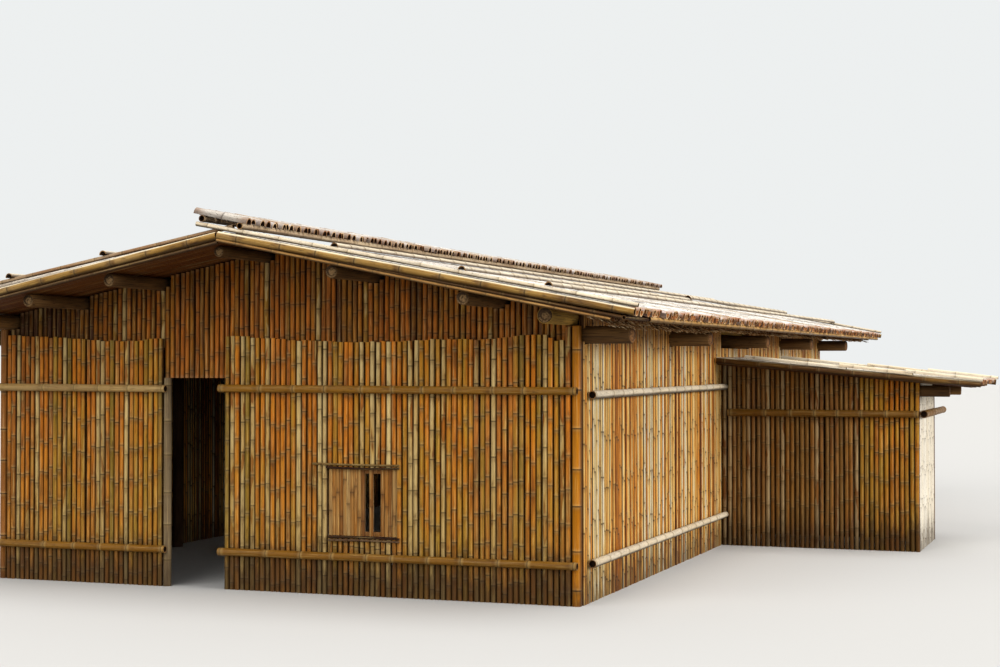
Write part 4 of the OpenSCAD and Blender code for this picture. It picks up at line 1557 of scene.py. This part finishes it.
@dataclass
class Rails:
    """Rails across the culms on all four walls."""

    palette: Palette
    low_z: float = 0.36
    gable_z: float = 1.9
    side_z: float = 1.86
    gable_r: float = 0.0375
    side_r: float = 0.038
    drop: float = 0.012 * 0.3
    out: float = PLAN.culm_d / 2 + PLAN.gap + PLAN.rail_d / 2

    def across(self, bundle: Bundle, low: float, high: float, y: float, tones: tuple[float, float]) -> None:
        """Lays a lower and an upper rail on a gable wall, thick ends to the left.

        Args:
            bundle: where they go.
            low: X of the left end.
            high: X of the right end.
            y: their place along the room.
            tones: colour numbers of the lower and the upper rail.
        """
        stock = pole_stock(16, max(3, round((high - low) / 0.31)), open_foot=True)
        look = {"taper": 0.93, "bow": 0.004, "bulge": 0.045, "knuckle": 0.03}
        for z, drop, tone in ((self.low_z, 0.0, tones[0]), (self.gable_z, self.drop, tones[1])):
            foot, tip = spots(low, y, z + drop), spots(high, y, z - drop)
            bundle.add(stock, foot, tip, self.gable_r, tone=tone, **look)

    def along(self, side: int, spans: tuple[tuple[float, float], ...]) -> None:
        """Lays lower and upper rails on a side wall.

        Args:
            side: -1 for the left wall, 1 for the right.
            spans: their starts and ends along the room.
        """
        node = "side_rails_" + word_of(side)
        bundle = Bundle(node + "_poles", self.palette.pale, 53 + side)
        x = side * (PLAN.side_x + self.out)
        look = {"taper": 0.93, "bow": 0.005, "bulge": 0.045, "tone": 0.7, "knuckle": 0.03}
        for start, end in spans:
            stock = pole_stock(16, round((end - start) / 0.33), open_foot=True)
            for z in (self.low_z, self.side_z):
                bundle.add(stock, spots(x, start, z), spots(x, end, z), self.side_r, **look)
        bundle.build("rail_pole", node)

    def make(self) -> None:
        """Builds the rails."""
        front = Bundle("front_rail_poles", self.palette.rail, 51)
        self.across(front, -PLAN.side_x, -PLAN.door_left - 0.02, -self.out, (0.35, 0.95))
        self.across(front, -PLAN.door_right - 0.03, PLAN.side_x, -self.out, (0.3, 0.45))
        front.build("rail_pole", "front_rails")
        rear = Bundle("rear_rail_poles", self.palette.rail, 52)
        self.across(rear, -PLAN.side_x, PLAN.side_x, PLAN.room_l + self.out, (0.3, 0.6))
        rear.build("rail_pole", "rear_rails")
        first, last = PLAN.beam_ys[0], PLAN.beam_ys[-1]
        self.along(-1, ((first, last),))
        self.along(1, ((first, PLAN.annex_y - 0.03), (PLAN.annex_rear_y + 0.03, last)))


@dataclass
class LogFrame:
    """Cross-beams and purlins, with the posts and struts that the model already has."""

    palette: Palette
    beam_r: float = 0.0795
    slant: float = 0.14
    groups: tuple[tuple[str, float, float], ...] = (
        ("purlins_left", -4.0, -0.5), ("ridge_purlin", -0.5, 0.5), ("purlins_right", 0.5, 4.0),
    )
    dry_x: float = 2.5
    own_posts: tuple[str, ...] = ("frame_posts", "beam_struts", "annex_posts")

    def make(self) -> None:
        """Builds the logs and dresses the posts."""
        look = {"lump": 0.06, "rounded": 0.1, "bulge": 0.0, "turn": 0.0}
        beams = Bundle("cross_beam_logs", self.palette.beam, 61)
        stock = pole_stock(20, 0, open_tip=False, plain=24)
        foot, tip = (spots(x, PLAN.beam_ys, PLAN.beam_z) for x in (-PLAN.beam_end, PLAN.beam_end))
        beams.add(stock, foot, tip, self.beam_r, slant=self.slant, **look)
        beams.build("log", "cross_beams")
        stock = pole_stock(18, 0, open_tip=False, plain=44)
        for node, low, high in self.groups:
            bundle = Bundle(node + "_logs", self.palette.log + self.palette.dry_log, 62)
            for x, d, out in PLAN.purlins:
                if low < x < high:
                    z = PLAN.purlin_z(x, d)
                    foot, tip = spots(x, -out, z), spots(x, PLAN.room_l + out, z)
                    bundle.add(stock, foot, tip, d / 2 - 0.0005, dress=int(x > self.dry_x), **look)
            bundle.build("log", node)
        for node in self.own_posts:
            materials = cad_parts[node].data.materials
            materials.clear()
            materials.append(self.palette.post)


@dataclass(frozen=True)
class HoldPole:
    """One length of split pole on the tiles."""

    x: float
    start: float = PLAN.hold_y
    end: float = PLAN.room_l - PLAN.hold_y
    r: float = 0.037
    front_lift: float = 0.0
    rear_lift: float = -0.004


@dataclass
class RoofSlope:
    """One slope: split-culm sheathing, half-culm tiles and the poles that hold the tiles down."""

    palette: Palette
    side: int
    strip_d: float = 0.064
    strip_r: float = 0.0315
    splits: int = 620
    channel_n: float = 0.0528
    cover_n: float = 0.0945
    cover_r: float = 0.0485
    left_holds: tuple[HoldPole, ...] = (HoldPole(1.21), HoldPole(2.22))
    right_holds: tuple[HoldPole, ...] = (
        HoldPole(1.11), HoldPole(2.29, end=7.02, r=0.036),
        HoldPole(2.29, start=6.89, r=0.042, front_lift=0.022, rear_lift=0.0), HoldPole(3.06),
    )

    def __post_init__(self) -> None:
        """Sets the slope's coordinates and its side in words."""
        self.slope = Slope(self.side)
        self.word = word_of(self.side)

    def sheathing(self) -> None:
        """Builds the sheathing of split culms, skin side down."""
        finish = self.palette.sheath + self.palette.frayed
        bundle = Bundle(f"sheathing_{self.word}_strips", finish, 71 + self.side)
        rng = bundle.rng
        y = row(PLAN.sheath_y, PLAN.room_l - PLAN.sheath_y, self.strip_d, 0.003)
        k = len(y)
        reach = self.slope.down(PLAN.sheath_x) - np.abs(rng.normal(0, 0.028, k)).clip(0, 0.09)
        n = self.strip_r + rng.uniform(0, 0.0015, k)
        foot, tip = self.slope.at(0.002, y, n), self.slope.at(reach, y + rng.normal(0, 0.004, k), n)
        look = {"up": self.slope.normal, "turn": math.pi, "wall": 0.3}
        bundle.add(half_stock(5, 3), foot, tip, self.strip_r, bulge=0.02, **look)
        self.ragged(bundle, look)
        bundle.build("sheathing", f"sheathing_{self.word}")

    def ragged(self, bundle: Bundle, look: dict[str, object]) -> None:
        """Adds the split ends that hang out under the eave.

        Args:
            bundle: the sheathing.
            look: how its strips lie.
        """
        rng = bundle.rng
        k = self.splits
        y = np.sort(rng.uniform(PLAN.sheath_y + 0.02, PLAN.room_l - PLAN.sheath_y - 0.02, k))
        reach = self.slope.down(PLAN.sheath_x) + rng.uniform(-0.09, 0.04, k)
        foot = self.slope.at(reach - rng.uniform(0.09, 0.2, k), y, -0.003)
        aside = y + rng.normal(0, 0.016, k)
        # the splits near the front hang lower
        hang = rng.uniform(0.008, 0.03, k) * np.interp(y, (2.0, 3.2), (1.9, 1.0))
        radius = rng.uniform(0.009, 0.02, k)
        taper = rng.uniform(0.4, 1.1, k)
        tone = rng.uniform(0.1, 1.1, k)
        tip = self.slope.at(reach, aside, -hang)
        split = {"taper": taper, "squash": 0.5, "bulge": 0.0, "tone": tone, "dress": 1}
        bundle.add(half_stock(3, 1), foot, tip, radius, **split, **look)

    def tiles(self) -> None:
        """Builds channel tiles and the cover tiles that stand in them."""
        bundle = Bundle(f"tiles_{self.word}_culms", self.palette.tile, 75 + self.side)
        rng = bundle.rng
        step = (PLAN.room_l - 2 * PLAN.tile_y - 2 * PLAN.tile_r) / PLAN.tile_count
        first = PLAN.tile_y + PLAN.tile_r
        y = first + step * np.arange(PLAN.tile_count + 1)
        k = len(y)
        reach = self.ends(rng, k)
        lifted = self.channel_n + (PLAN.eave_lift + rng.normal(0, 0.004, k))
        foot = self.slope.at(0.004, y, self.channel_n)
        tip = self.slope.at(reach, y + rng.normal(0, 0.003, k), lifted)
        radius = PLAN.tile_r * rng.uniform(0.9, 0.985, k)
        taper = rng.uniform(0.93, 1.0, k)
        look = {"up": self.slope.normal, "wall": 0.16}
        bundle.add(half_stock(7, 8), foot, tip, radius, turn=0.0, bulge=0.035, taper=taper, **look)
        y = first + step * (np.arange(PLAN.tile_count) + 0.5)
        lifted = self.cover_n + PLAN.eave_lift * 0.6
        foot, tip = self.slope.at(0.004, y, self.cover_n), self.slope.at(self.ends(rng, len(y)), y, lifted)
        bundle.add(half_stock(7, 0), foot, tip, self.cover_r, turn=math.pi, **look)
        bundle.build("tile", f"tiles_{self.word}")

    def ends(self, rng: np.random.Generator, count: int) -> np.ndarray:
        """Gives tiles their uneven ends over the eave, as distances down the slope."""
        return self.slope.down(PLAN.tile_x) - 0.006 - np.abs(rng.normal(0, 0.035, count)).clip(0, 0.11)

    def holds(self) -> None:
        """Builds the split poles on the tiles."""
        bundle = Bundle(f"hold_poles_{self.word}_culms", self.palette.hold, 79 + self.side)
        look = {"up": self.slope.normal, "turn": 0.0, "wall": 0.21, "bulge": 0.05, "bow": 0.006, "tone": 0.8}
        for pole in self.right_holds if self.side > 0 else self.left_holds:
            stock = half_stock(8, round((pole.end - pole.start) / 0.36))
            s = self.slope.down(pole.x, PLAN.hold_n)
            base = PLAN.hold_n + PLAN.eave_lift * pole.x / PLAN.tile_x
            foot = self.slope.at(s, pole.start, base + pole.front_lift)
            bundle.add(stock, foot, self.slope.at(s, pole.end, base + pole.rear_lift), pole.r, **look)
        bundle.build("bleached_pole", f"hold_poles_{self.word}")

    def make(self) -> None:
        """Builds the slope."""
        self.sheathing()
        self.tiles()
        self.holds()


@dataclass(frozen=True)
class VergePole:
    """One pole down a verge: its ends' distances from the ridge line and along the normal, and its looks."""

    start: float
    end: float
    start_n: float
    end_n: float
    y: float
    r: float
    nodes: int
    tone: float
    dress: int
    taper: float = 0.85


@dataclass
class RoofEdges:
    """The poles down the verges and under the eaves, the ridge poles and the ridge cap."""

    palette: Palette
    top_n: float = PLAN.verge_top_n
    lifted_n: float = PLAN.verge_top_n + PLAN.eave_lift
    left: tuple[VergePole, ...] = (
        VergePole(0.0, PLAN.tile_x, 0.055, 0.048, -1.055, 0.037, 10, 0.5, 0),
        VergePole(-0.1, PLAN.tile_x, top_n, lifted_n, PLAN.tile_y + 0.0721, 0.0215, 12, 0.1, 1),
        # painted shade: the low pole's dark tone
        VergePole(0.0, PLAN.sheath_x, -0.002, -0.006, -1.052, 0.0145, 11, -0.1, 2),
    )
    right: tuple[VergePole, ...] = (
        VergePole(0.0, PLAN.tile_x, 0.0585, 0.111, -1.055, 0.037, 10, 0.5, 0),
        VergePole(-0.256, PLAN.tile_x, top_n, lifted_n, PLAN.tile_y + 0.0279, 0.0215, 12, 0.75, 1),
        VergePole(0.0, PLAN.sheath_x, 0.0165, 0.0165, -1.0735, 0.0145, 11, 0.65, 2),
        # painted shade: this thin dark pole fills the gap between the low pole and the thick pole
        VergePole(0.3, PLAN.tile_x - 0.05, 0.034, 0.052, -1.036, 0.015, 9, 0.1, 2, 1.0),
    )
    eave_r: float = 0.025
    eave_rise: float = 0.035
    front_r: float = 0.018
    ridge_x: float = 0.19
    ridge_rise: float = 0.033
    ridge_r: float = 0.031
    cap_x: float = 0.3
    cap_d: float = 0.102
    cap_r: float = 0.051

    def verge(self, side: int, front: bool) -> None:
        """Builds the poles down a verge.

        Args:
            side: -1 for the left slope, 1 for the right.
            front: at the front gable.
        """
        slope = Slope(side)
        word = word_of(side) + ("_front" if front else "_rear")
        finish = self.palette.verge + self.palette.pale + self.palette.under
        bundle = Bundle(f"verge_{word}_poles", finish, 91 + side + 3 * front)
        for pole in self.right if side > 0 else self.left:
            stock = pole_stock(16 if pole.r > 0.03 else 10, pole.nodes, open_foot=True)
            y = pole.y if front else PLAN.room_l - pole.y
            start = slope.down(pole.start, pole.start_n) + pole.r * math.tan(PLAN.pitch)
            foot, tip = slope.at(start, y, pole.start_n), slope.at(slope.down(pole.end), y, pole.end_n)
            look = {"taper": pole.taper, "tone": pole.tone, "dress": pole.dress}
            bundle.add(stock, foot, tip, pole.r, bulge=0.035, bow=0.003, **look)
        bundle.build("verge_pole", f"verge_{word}")

    def eaves(self) -> None:
        """Builds the poles under the tile ends, with a thinner dark length at the front that paints the shade
        under the eave's front corner.
        """
        bundle = Bundle("eave_pole_culms", self.palette.under + self.palette.twig, 97)
        low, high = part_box("eave_poles")
        low.z += self.eave_rise
        z = low.z + self.eave_r
        long, short = pole_stock(10, 40, open_foot=True), pole_stock(10, 3, open_foot=True)
        for side in (-1, 1):
            x = side * (high.x - self.eave_r)
            foot, tip = spots(x, -0.36, z), spots(x, high.y, z)
            bundle.add(long, foot, tip, self.eave_r - 0.001, taper=0.9, bow=0.004, tone=0.95)
            # painted shade: a near-black length where the eave's front corner lies in shadow
            x = x - side * 0.008
            foot, tip = spots(x, low.y, z), spots(x, -0.3, z)
            bundle.add(short, foot, tip, self.front_r, taper=0.9, tone=0.0, dress=1)
        bundle.build("verge_pole", "eave_poles")

    def ridge(self) -> None:
        """Builds the poles beside the ridge and the cap of short half culms across it."""
        slope = Slope(1)
        start, end = PLAN.hold_y, PLAN.room_l - PLAN.hold_y
        poles = Bundle("ridge_pole_culms", self.palette.pale, 98)
        stock = pole_stock(12, 38, open_foot=True)
        n = PLAN.hold_n + self.ridge_rise
        for x in (-self.ridge_x, self.ridge_x):
            s = slope.down(x, n)
            foot, tip = slope.at(s, start, n), slope.at(s, end, n)
            poles.add(stock, foot, tip, self.ridge_r, taper=0.95, bow=0.004, tone=0.3)
        poles.build("bleached_pole", "ridge_poles")
        cap = Bundle("ridge_cap_culms", self.palette.cap, 99)
        rng = cap.rng
        y = row(start, end, self.cap_d, 0.002)
        k = len(y)
        n = PLAN.cap_n
        back = slope.at(slope.down(-self.cap_x, n) + rng.uniform(0, 0.05, k), y, n)
        reach = slope.down(self.cap_x, n) - rng.uniform(0, 0.05, k)
        front = slope.at(reach, y + rng.normal(0, 0.012, k), n - rng.uniform(0, 0.006, k))
        radius = self.cap_r * rng.uniform(0.88, 1.0, k)
        turn = rng.normal(0, 0.06, k)
        look = {"up": slope.normal, "turn": turn, "wall": 0.17, "bulge": 0.04, "squash": 1.15}
        cap.add(half_stock(7, 1), back, front, radius, **look)
        cap.build("tile", "ridge_cap")

    def make(self) -> None:
        """Builds all the edges."""
        for side in (-1, 1):
            for front in (True, False):
                self.verge(side, front)
        self.eaves()
        self.ridge()


@dataclass
class LeanTo:
    """The lean-to: walls, rails, sheathing and tiles."""

    palette: Palette
    inset: float = 0.0283
    beam_inset: float = 0.0958
    beam_z: float = 1.82
    beam_r: float = 0.067
    side_h: float = 1.914
    ledger_r: float = 0.0395
    rail_z: float = 1.56
    rail_r: float = 0.0435
    rail_out: float = 0.0733
    sunny_x: float = 4.62
    eave_out: float = 0.74
    sheath_y: float = 5.2448
    strip_r: float = 0.031
    tile_y: float = 5.2523
    tile_steps: int = 18
    channel_n: float = 0.0478
    cover_n: float = 0.0893
    cover_r: float = 0.0485
    verge_y: float = 5.196
    verge_r: float = 0.0375

    def __post_init__(self) -> None:
        """Sets the lean-to's own slope and the places that several pieces share."""
        self.slope = Slope(1, PLAN.annex_apex, PLAN.annex_pitch)
        self.beam_ys = np.array([PLAN.annex_y + self.beam_inset, PLAN.annex_rear_y - self.beam_inset])
        self.middle = (PLAN.annex_y + PLAN.annex_rear_y) / 2
        self.start = self.slope.down(PLAN.annex_in_x)
        self.end = self.slope.down(PLAN.annex_x + self.eave_out)

    def cross_wall(self, front: bool) -> None:
        """Builds the front or the rear wall.

        Args:
            front: it is the front wall.
        """
        node = "annex_front_wall" if front else "annex_rear_wall"
        finish = self.palette.annex + self.palette.wall if front else self.palette.annex
        bundle = Bundle(node + "_culms", finish, 111 if front else 112)
        rng = bundle.rng
        lap = -0.002 if front else PLAN.culm_lap
        x = row(PLAN.annex_in_x, PLAN.annex_x + PLAN.culm_d / 2, PLAN.culm_d, lap)
        y = PLAN.annex_y if front else PLAN.annex_rear_y
        k = len(x)
        top = PLAN.annex_apex - math.tan(PLAN.annex_pitch) * (x + 0.03) - 0.001
        tone = np.where(rng.uniform(0, 1, k) < 0.22, rng.uniform(0.82, 0.95, k), rng.uniform(0.2, 0.74, k))
        widths = (0.93, 1.05) if front else (1.03, 1.07)
        radius = PLAN.culm_r * rng.uniform(*widths, k)
        foot, tip = spots(x, y, 0.0), spots(x + (rng.normal(0, 0.003, k) if front else 0.0), y, top)
        taper = rng.uniform(0.88, 1.0, k) if front else np.ones(k)
        # painted light: culms at the front's right end stand in the sun and wear the house wall's brighter
        # finish
        sunny = (x > self.sunny_x) & front
        tone[sunny] *= 0.5
        look = {"up": (0, -1.0 if front else 1.0, 0), "bow": 0.003 if front else 0.0}
        for dress, some in enumerate((~sunny, sunny)):
            if some.any():
                look |= {"taper": taper[some], "tone": tone[some], "dress": dress}
                bundle.add(pole_stock(10, 6), foot[some], tip[some], radius[some], **look)
        bundle.build("wall_culm", node)

    def side_wall(self) -> None:
        """Builds the side wall, cut round the two beams."""
        bundle = Bundle("annex_side_wall_culms", self.palette.side_pale, 113)
        rng = bundle.rng
        y = row(PLAN.annex_y + self.inset, PLAN.annex_rear_y - self.inset, PLAN.culm_d, PLAN.culm_lap)
        k = len(y)
        near = np.maximum(np.abs(y[:, None] - self.beam_ys[None, :]).min(axis=1) - 0.02, 0.0)
        r = self.beam_r + 0.001
        top = np.where(near < r, self.beam_z - np.sqrt(np.maximum(r * r - near * near, 0)), self.side_h)
        radius = 0.0265 * rng.uniform(0.88, 1.02, k)
        foot, tip = spots(PLAN.annex_x, y, 0.0), spots(PLAN.annex_x, y, top)
        look = {"up": (1, 0, 0), "taper": 0.95, "bow": 0.002, "tone": rng.uniform(0.2, 1.0, k)}
        bundle.add(pole_stock(10, 5), foot, tip, radius, **look)
        bundle.build("side_culm", "annex_side_wall")

    def beams(self) -> None:
        """Builds the two beams and the ledger along the house wall."""
        bundle = Bundle("annex_beam_logs", self.palette.beam, 117)
        stock = pole_stock(18, 0, open_tip=False, plain=14)
        low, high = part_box("annex_beams")
        look = {"lump": 0.05, "rounded": 0.1, "bulge": 0.0, "turn": 0.0}
        foot, tip = (spots(x, self.beam_ys, self.beam_z) for x in (low.x, high.x))
        bundle.add(stock, foot, tip, self.beam_r, **look)
        x = PLAN.annex_in_x + 0.04
        z = PLAN.annex_apex - math.tan(PLAN.annex_pitch) * x
        z = z - (self.ledger_r + 0.001) / math.cos(PLAN.annex_pitch)
        foot, tip = spots(x, PLAN.annex_y + self.inset, z), spots(x, PLAN.annex_rear_y - self.inset, z)
        bundle.add(stock, foot, tip, self.ledger_r, **look)
        bundle.build("log", "annex_beams")

    def rails(self) -> None:
        """Builds the rails."""
        bundle = Bundle("annex_rail_poles", self.palette.rail, 114)
        stock = pole_stock(14, 8, open_foot=True)
        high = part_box("annex_rails")[1]
        front_y, rear_y = PLAN.annex_y - self.rail_out, PLAN.annex_rear_y + self.rail_out
        start, side_x = PLAN.annex_in_x + 0.08, PLAN.annex_x + self.rail_out
        look = {"taper": 0.93, "bow": 0.003, "bulge": 0.045, "tone": 0.25, "knuckle": 0.03}
        for foot, tip in (
            ((start, front_y), (PLAN.annex_x + 0.028, front_y)),
            ((start, rear_y), (PLAN.annex_x - 0.045, rear_y)),
            ((side_x, PLAN.annex_y - 0.028), (side_x, high.y)),
        ):
            bundle.add(stock, spots(*foot, self.rail_z), spots(*tip, self.rail_z), self.rail_r, **look)
        bundle.build("rail_pole", "annex_rails")

    def sheathing(self) -> None:
        """Builds the sheathing."""
        bundle = Bundle("annex_sheathing_strips", self.palette.sheath, 115)
        half = self.middle - self.sheath_y
        y = row(self.middle - half, self.middle + half, 0.064, 0.003)
        reach = self.end - 0.1 - np.abs(bundle.rng.normal(0, 0.02, len(y))).clip(0, 0.06)
        foot, tip = self.slope.at(self.start + 0.002, y, self.strip_r), self.slope.at(reach, y, self.strip_r)
        look = {"up": self.slope.normal, "turn": math.pi, "wall": 0.3, "bulge": 0.02}
        bundle.add(half_stock(5, 2), foot, tip, self.strip_r, **look)
        bundle.build("sheathing", "annex_sheathing")

    def tiles(self) -> None:
        """Builds the tiles and the poles down both verges."""
        bundle = Bundle("annex_tile_culms", self.palette.tile + self.palette.verge + self.palette.lapped, 116)
        rng = bundle.rng
        step = (2 * (self.middle - self.tile_y) - 2 * PLAN.tile_r) / self.tile_steps
        top = self.start + 0.006
        y = self.tile_y + PLAN.tile_r + step * np.arange(self.tile_steps + 1)
        foot = self.slope.at(top, y, self.channel_n)
        tip = self.slope.at(self.end - rng.uniform(0, 0.05, len(y)), y, self.channel_n)
        radius = PLAN.tile_r * rng.uniform(0.9, 0.985, len(y))
        look = {"up": self.slope.normal, "wall": 0.16}
        bundle.add(half_stock(7, 6), foot, tip, radius, turn=0.0, bulge=0.035, **look)
        y = self.tile_y + PLAN.tile_r + step * (np.arange(self.tile_steps) + 0.5)
        foot = self.slope.at(top, y, self.cover_n)
        tip = self.slope.at(self.end - rng.uniform(0, 0.05, len(y)), y, self.cover_n)
        bundle.add(half_stock(7, 0), foot, tip, self.cover_r, turn=math.pi, **look)
        for y in (self.verge_y, 2 * self.middle - self.verge_y):
            self.verge(bundle, y)
        bundle.build("tile", "annex_tiles")

    def verge(self, bundle: Bundle, y: float) -> None:
        """Lays a round pole down a verge, and three lapped lengths of half culm over it.

        Args:
            bundle: where they go.
            y: the verge's place along the room.
        """
        foot, tip = self.slope.at(self.start + 0.006, y, 0.058), self.slope.at(self.end - 0.02, y, 0.05)
        round_pole = pole_stock(14, 8, open_foot=True)
        bundle.add(round_pole, foot, tip, self.verge_r, taper=0.92, tone=0.02, bow=0.004, dress=1)
        look = {"up": self.slope.normal, "turn": 0.0, "wall": 0.2, "bulge": 0.04, "dress": 2}
        # painted light: the lapped lengths have light tones and, through their finish, a pale crown, so they
        # look sunlit
        for begin, end, tone in ((0.335, 1.5, 0.85), (1.42, 2.24, 0.6), (2.16, self.end - self.start, 0.8)):
            foot, tip = self.slope.at(self.start + begin, y, 0.108), self.slope.at(self.start + end, y, 0.084)
            bundle.add(half_stock(8, 2), foot, tip, self.verge_r, tone=tone, **look)

    def make(self) -> None:
        """Builds the lean-to."""
        self.cross_wall(True)
        self.cross_wall(False)
        self.side_wall()
        self.beams()
        self.rails()
        self.sheathing()
        self.tiles()


@dataclass
class Studio:
    """A plain pale floor, soft light and the camera."""

    floor_half: float = 150.0
    sky: Colour = (1.0, 0.985, 0.96)
    sky_strength: float = 0.55
    backdrop: Colour = (0.93, 0.94, 0.94)
    lamp_colour: Colour = (1.0, 0.98, 0.95)
    lamps: tuple[tuple[str, float, float, Way], ...] = (
        ("sun", 2.7, 25.0, (-0.92, 0.12, -0.28)), ("top", 1.5, 40.0, (-0.30, 0.05, -0.95)),
        ("fill", 2.2, 70.0, (0.30, 0.88, -0.30)),
    )
    eye: Way = (7.642, -14.739, 2.162)
    tilt: float = 90.9
    azimuth: float = 20.0
    lens: float = 63.0

    def floor(self) -> None:
        """Lays the floor."""
        bm = bmesh.new()
        bmesh.ops.create_grid(bm, x_segments=1, y_segments=1, size=self.floor_half)
        mesh = bpy.data.meshes.new("floor")
        bm.to_mesh(mesh)
        bm.free()
        mesh.materials.append(FloorPaint("floor_paint").make())
        piece = bpy.data.objects.new("floor", mesh)
        bpy.context.scene.collection.objects.link(piece)

    def light(self) -> None:
        """Sets the sky, with a plain backdrop before the camera, and the lamps."""
        world = bpy.data.worlds.new("sky")
        bpy.context.scene.world = world
        world.use_nodes = True
        wires = Wires(world.node_tree)
        sky = world.node_tree.nodes["Background"]
        wires.put(sky.inputs["Color"], self.sky + (1.0,))
        wires.put(sky.inputs["Strength"], self.sky_strength)
        backdrop = wires.node("Background", linear(self.backdrop))
        both = wires.node("MixShader", wires.straight_to_camera(), sky.outputs[0], backdrop.outputs[0])
        wires.put(world.node_tree.nodes["World Output"].inputs["Surface"], both.outputs[0])
        for name, energy, spread, way in self.lamps:
            self.lamp(name, energy, spread, way)

    def lamp(self, name: str, energy: float, spread: float, way: Way) -> None:
        """Adds a soft lamp far away.

        Args:
            name: its name.
            energy: its strength.
            spread: how wide it looks, in degrees.
            way: direction in which it shines.
        """
        data = bpy.data.lights.new(name, "SUN")
        data.energy = energy
        data.angle = math.radians(spread)
        data.color = self.lamp_colour
        piece = bpy.data.objects.new(name, data)
        piece.rotation_euler = Vector(way).to_track_quat("-Z", "Y").to_euler()
        bpy.context.scene.collection.objects.link(piece)

    def camera(self) -> None:
        """Sets the camera at the photograph's viewing angle."""
        lens = bpy.data.cameras.new("camera")
        lens.lens = self.lens
        lens.sensor_width = 36.0
        lens.sensor_fit = "HORIZONTAL"
        lens.clip_end = 400.0
        eye = bpy.data.objects.new("camera", lens)
        eye.location = self.eye
        eye.rotation_euler = (math.radians(self.tilt), 0.0, math.radians(self.azimuth))
        bpy.context.scene.collection.objects.link(eye)
        bpy.context.scene.camera = eye
        bpy.context.scene.view_settings.view_transform = "Standard"

    def make(self) -> None:
        """Sets up the studio."""
        self.floor()
        self.light()
        self.camera()


def main() -> None:
    """Builds the house piece by piece."""
    logging.basicConfig(level=logging.INFO, format="%(message)s")
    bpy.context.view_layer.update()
    Studio().make()
    palette = Palette()
    assemblies = (
        GableWall(palette, True), GableWall(palette, False, sides=8, nodes=7), SideWall(palette, -1),
        SideWall(palette, 1), Doorway(palette), Window(palette), Rails(palette), LogFrame(palette),
        RoofSlope(palette, -1), RoofSlope(palette, 1), RoofEdges(palette), LeanTo(palette),
    )
    for assembly in assemblies:
        assembly.make()
        log.info("%s done", type(assembly).__name__)


if __name__ == "__main__":
    main()
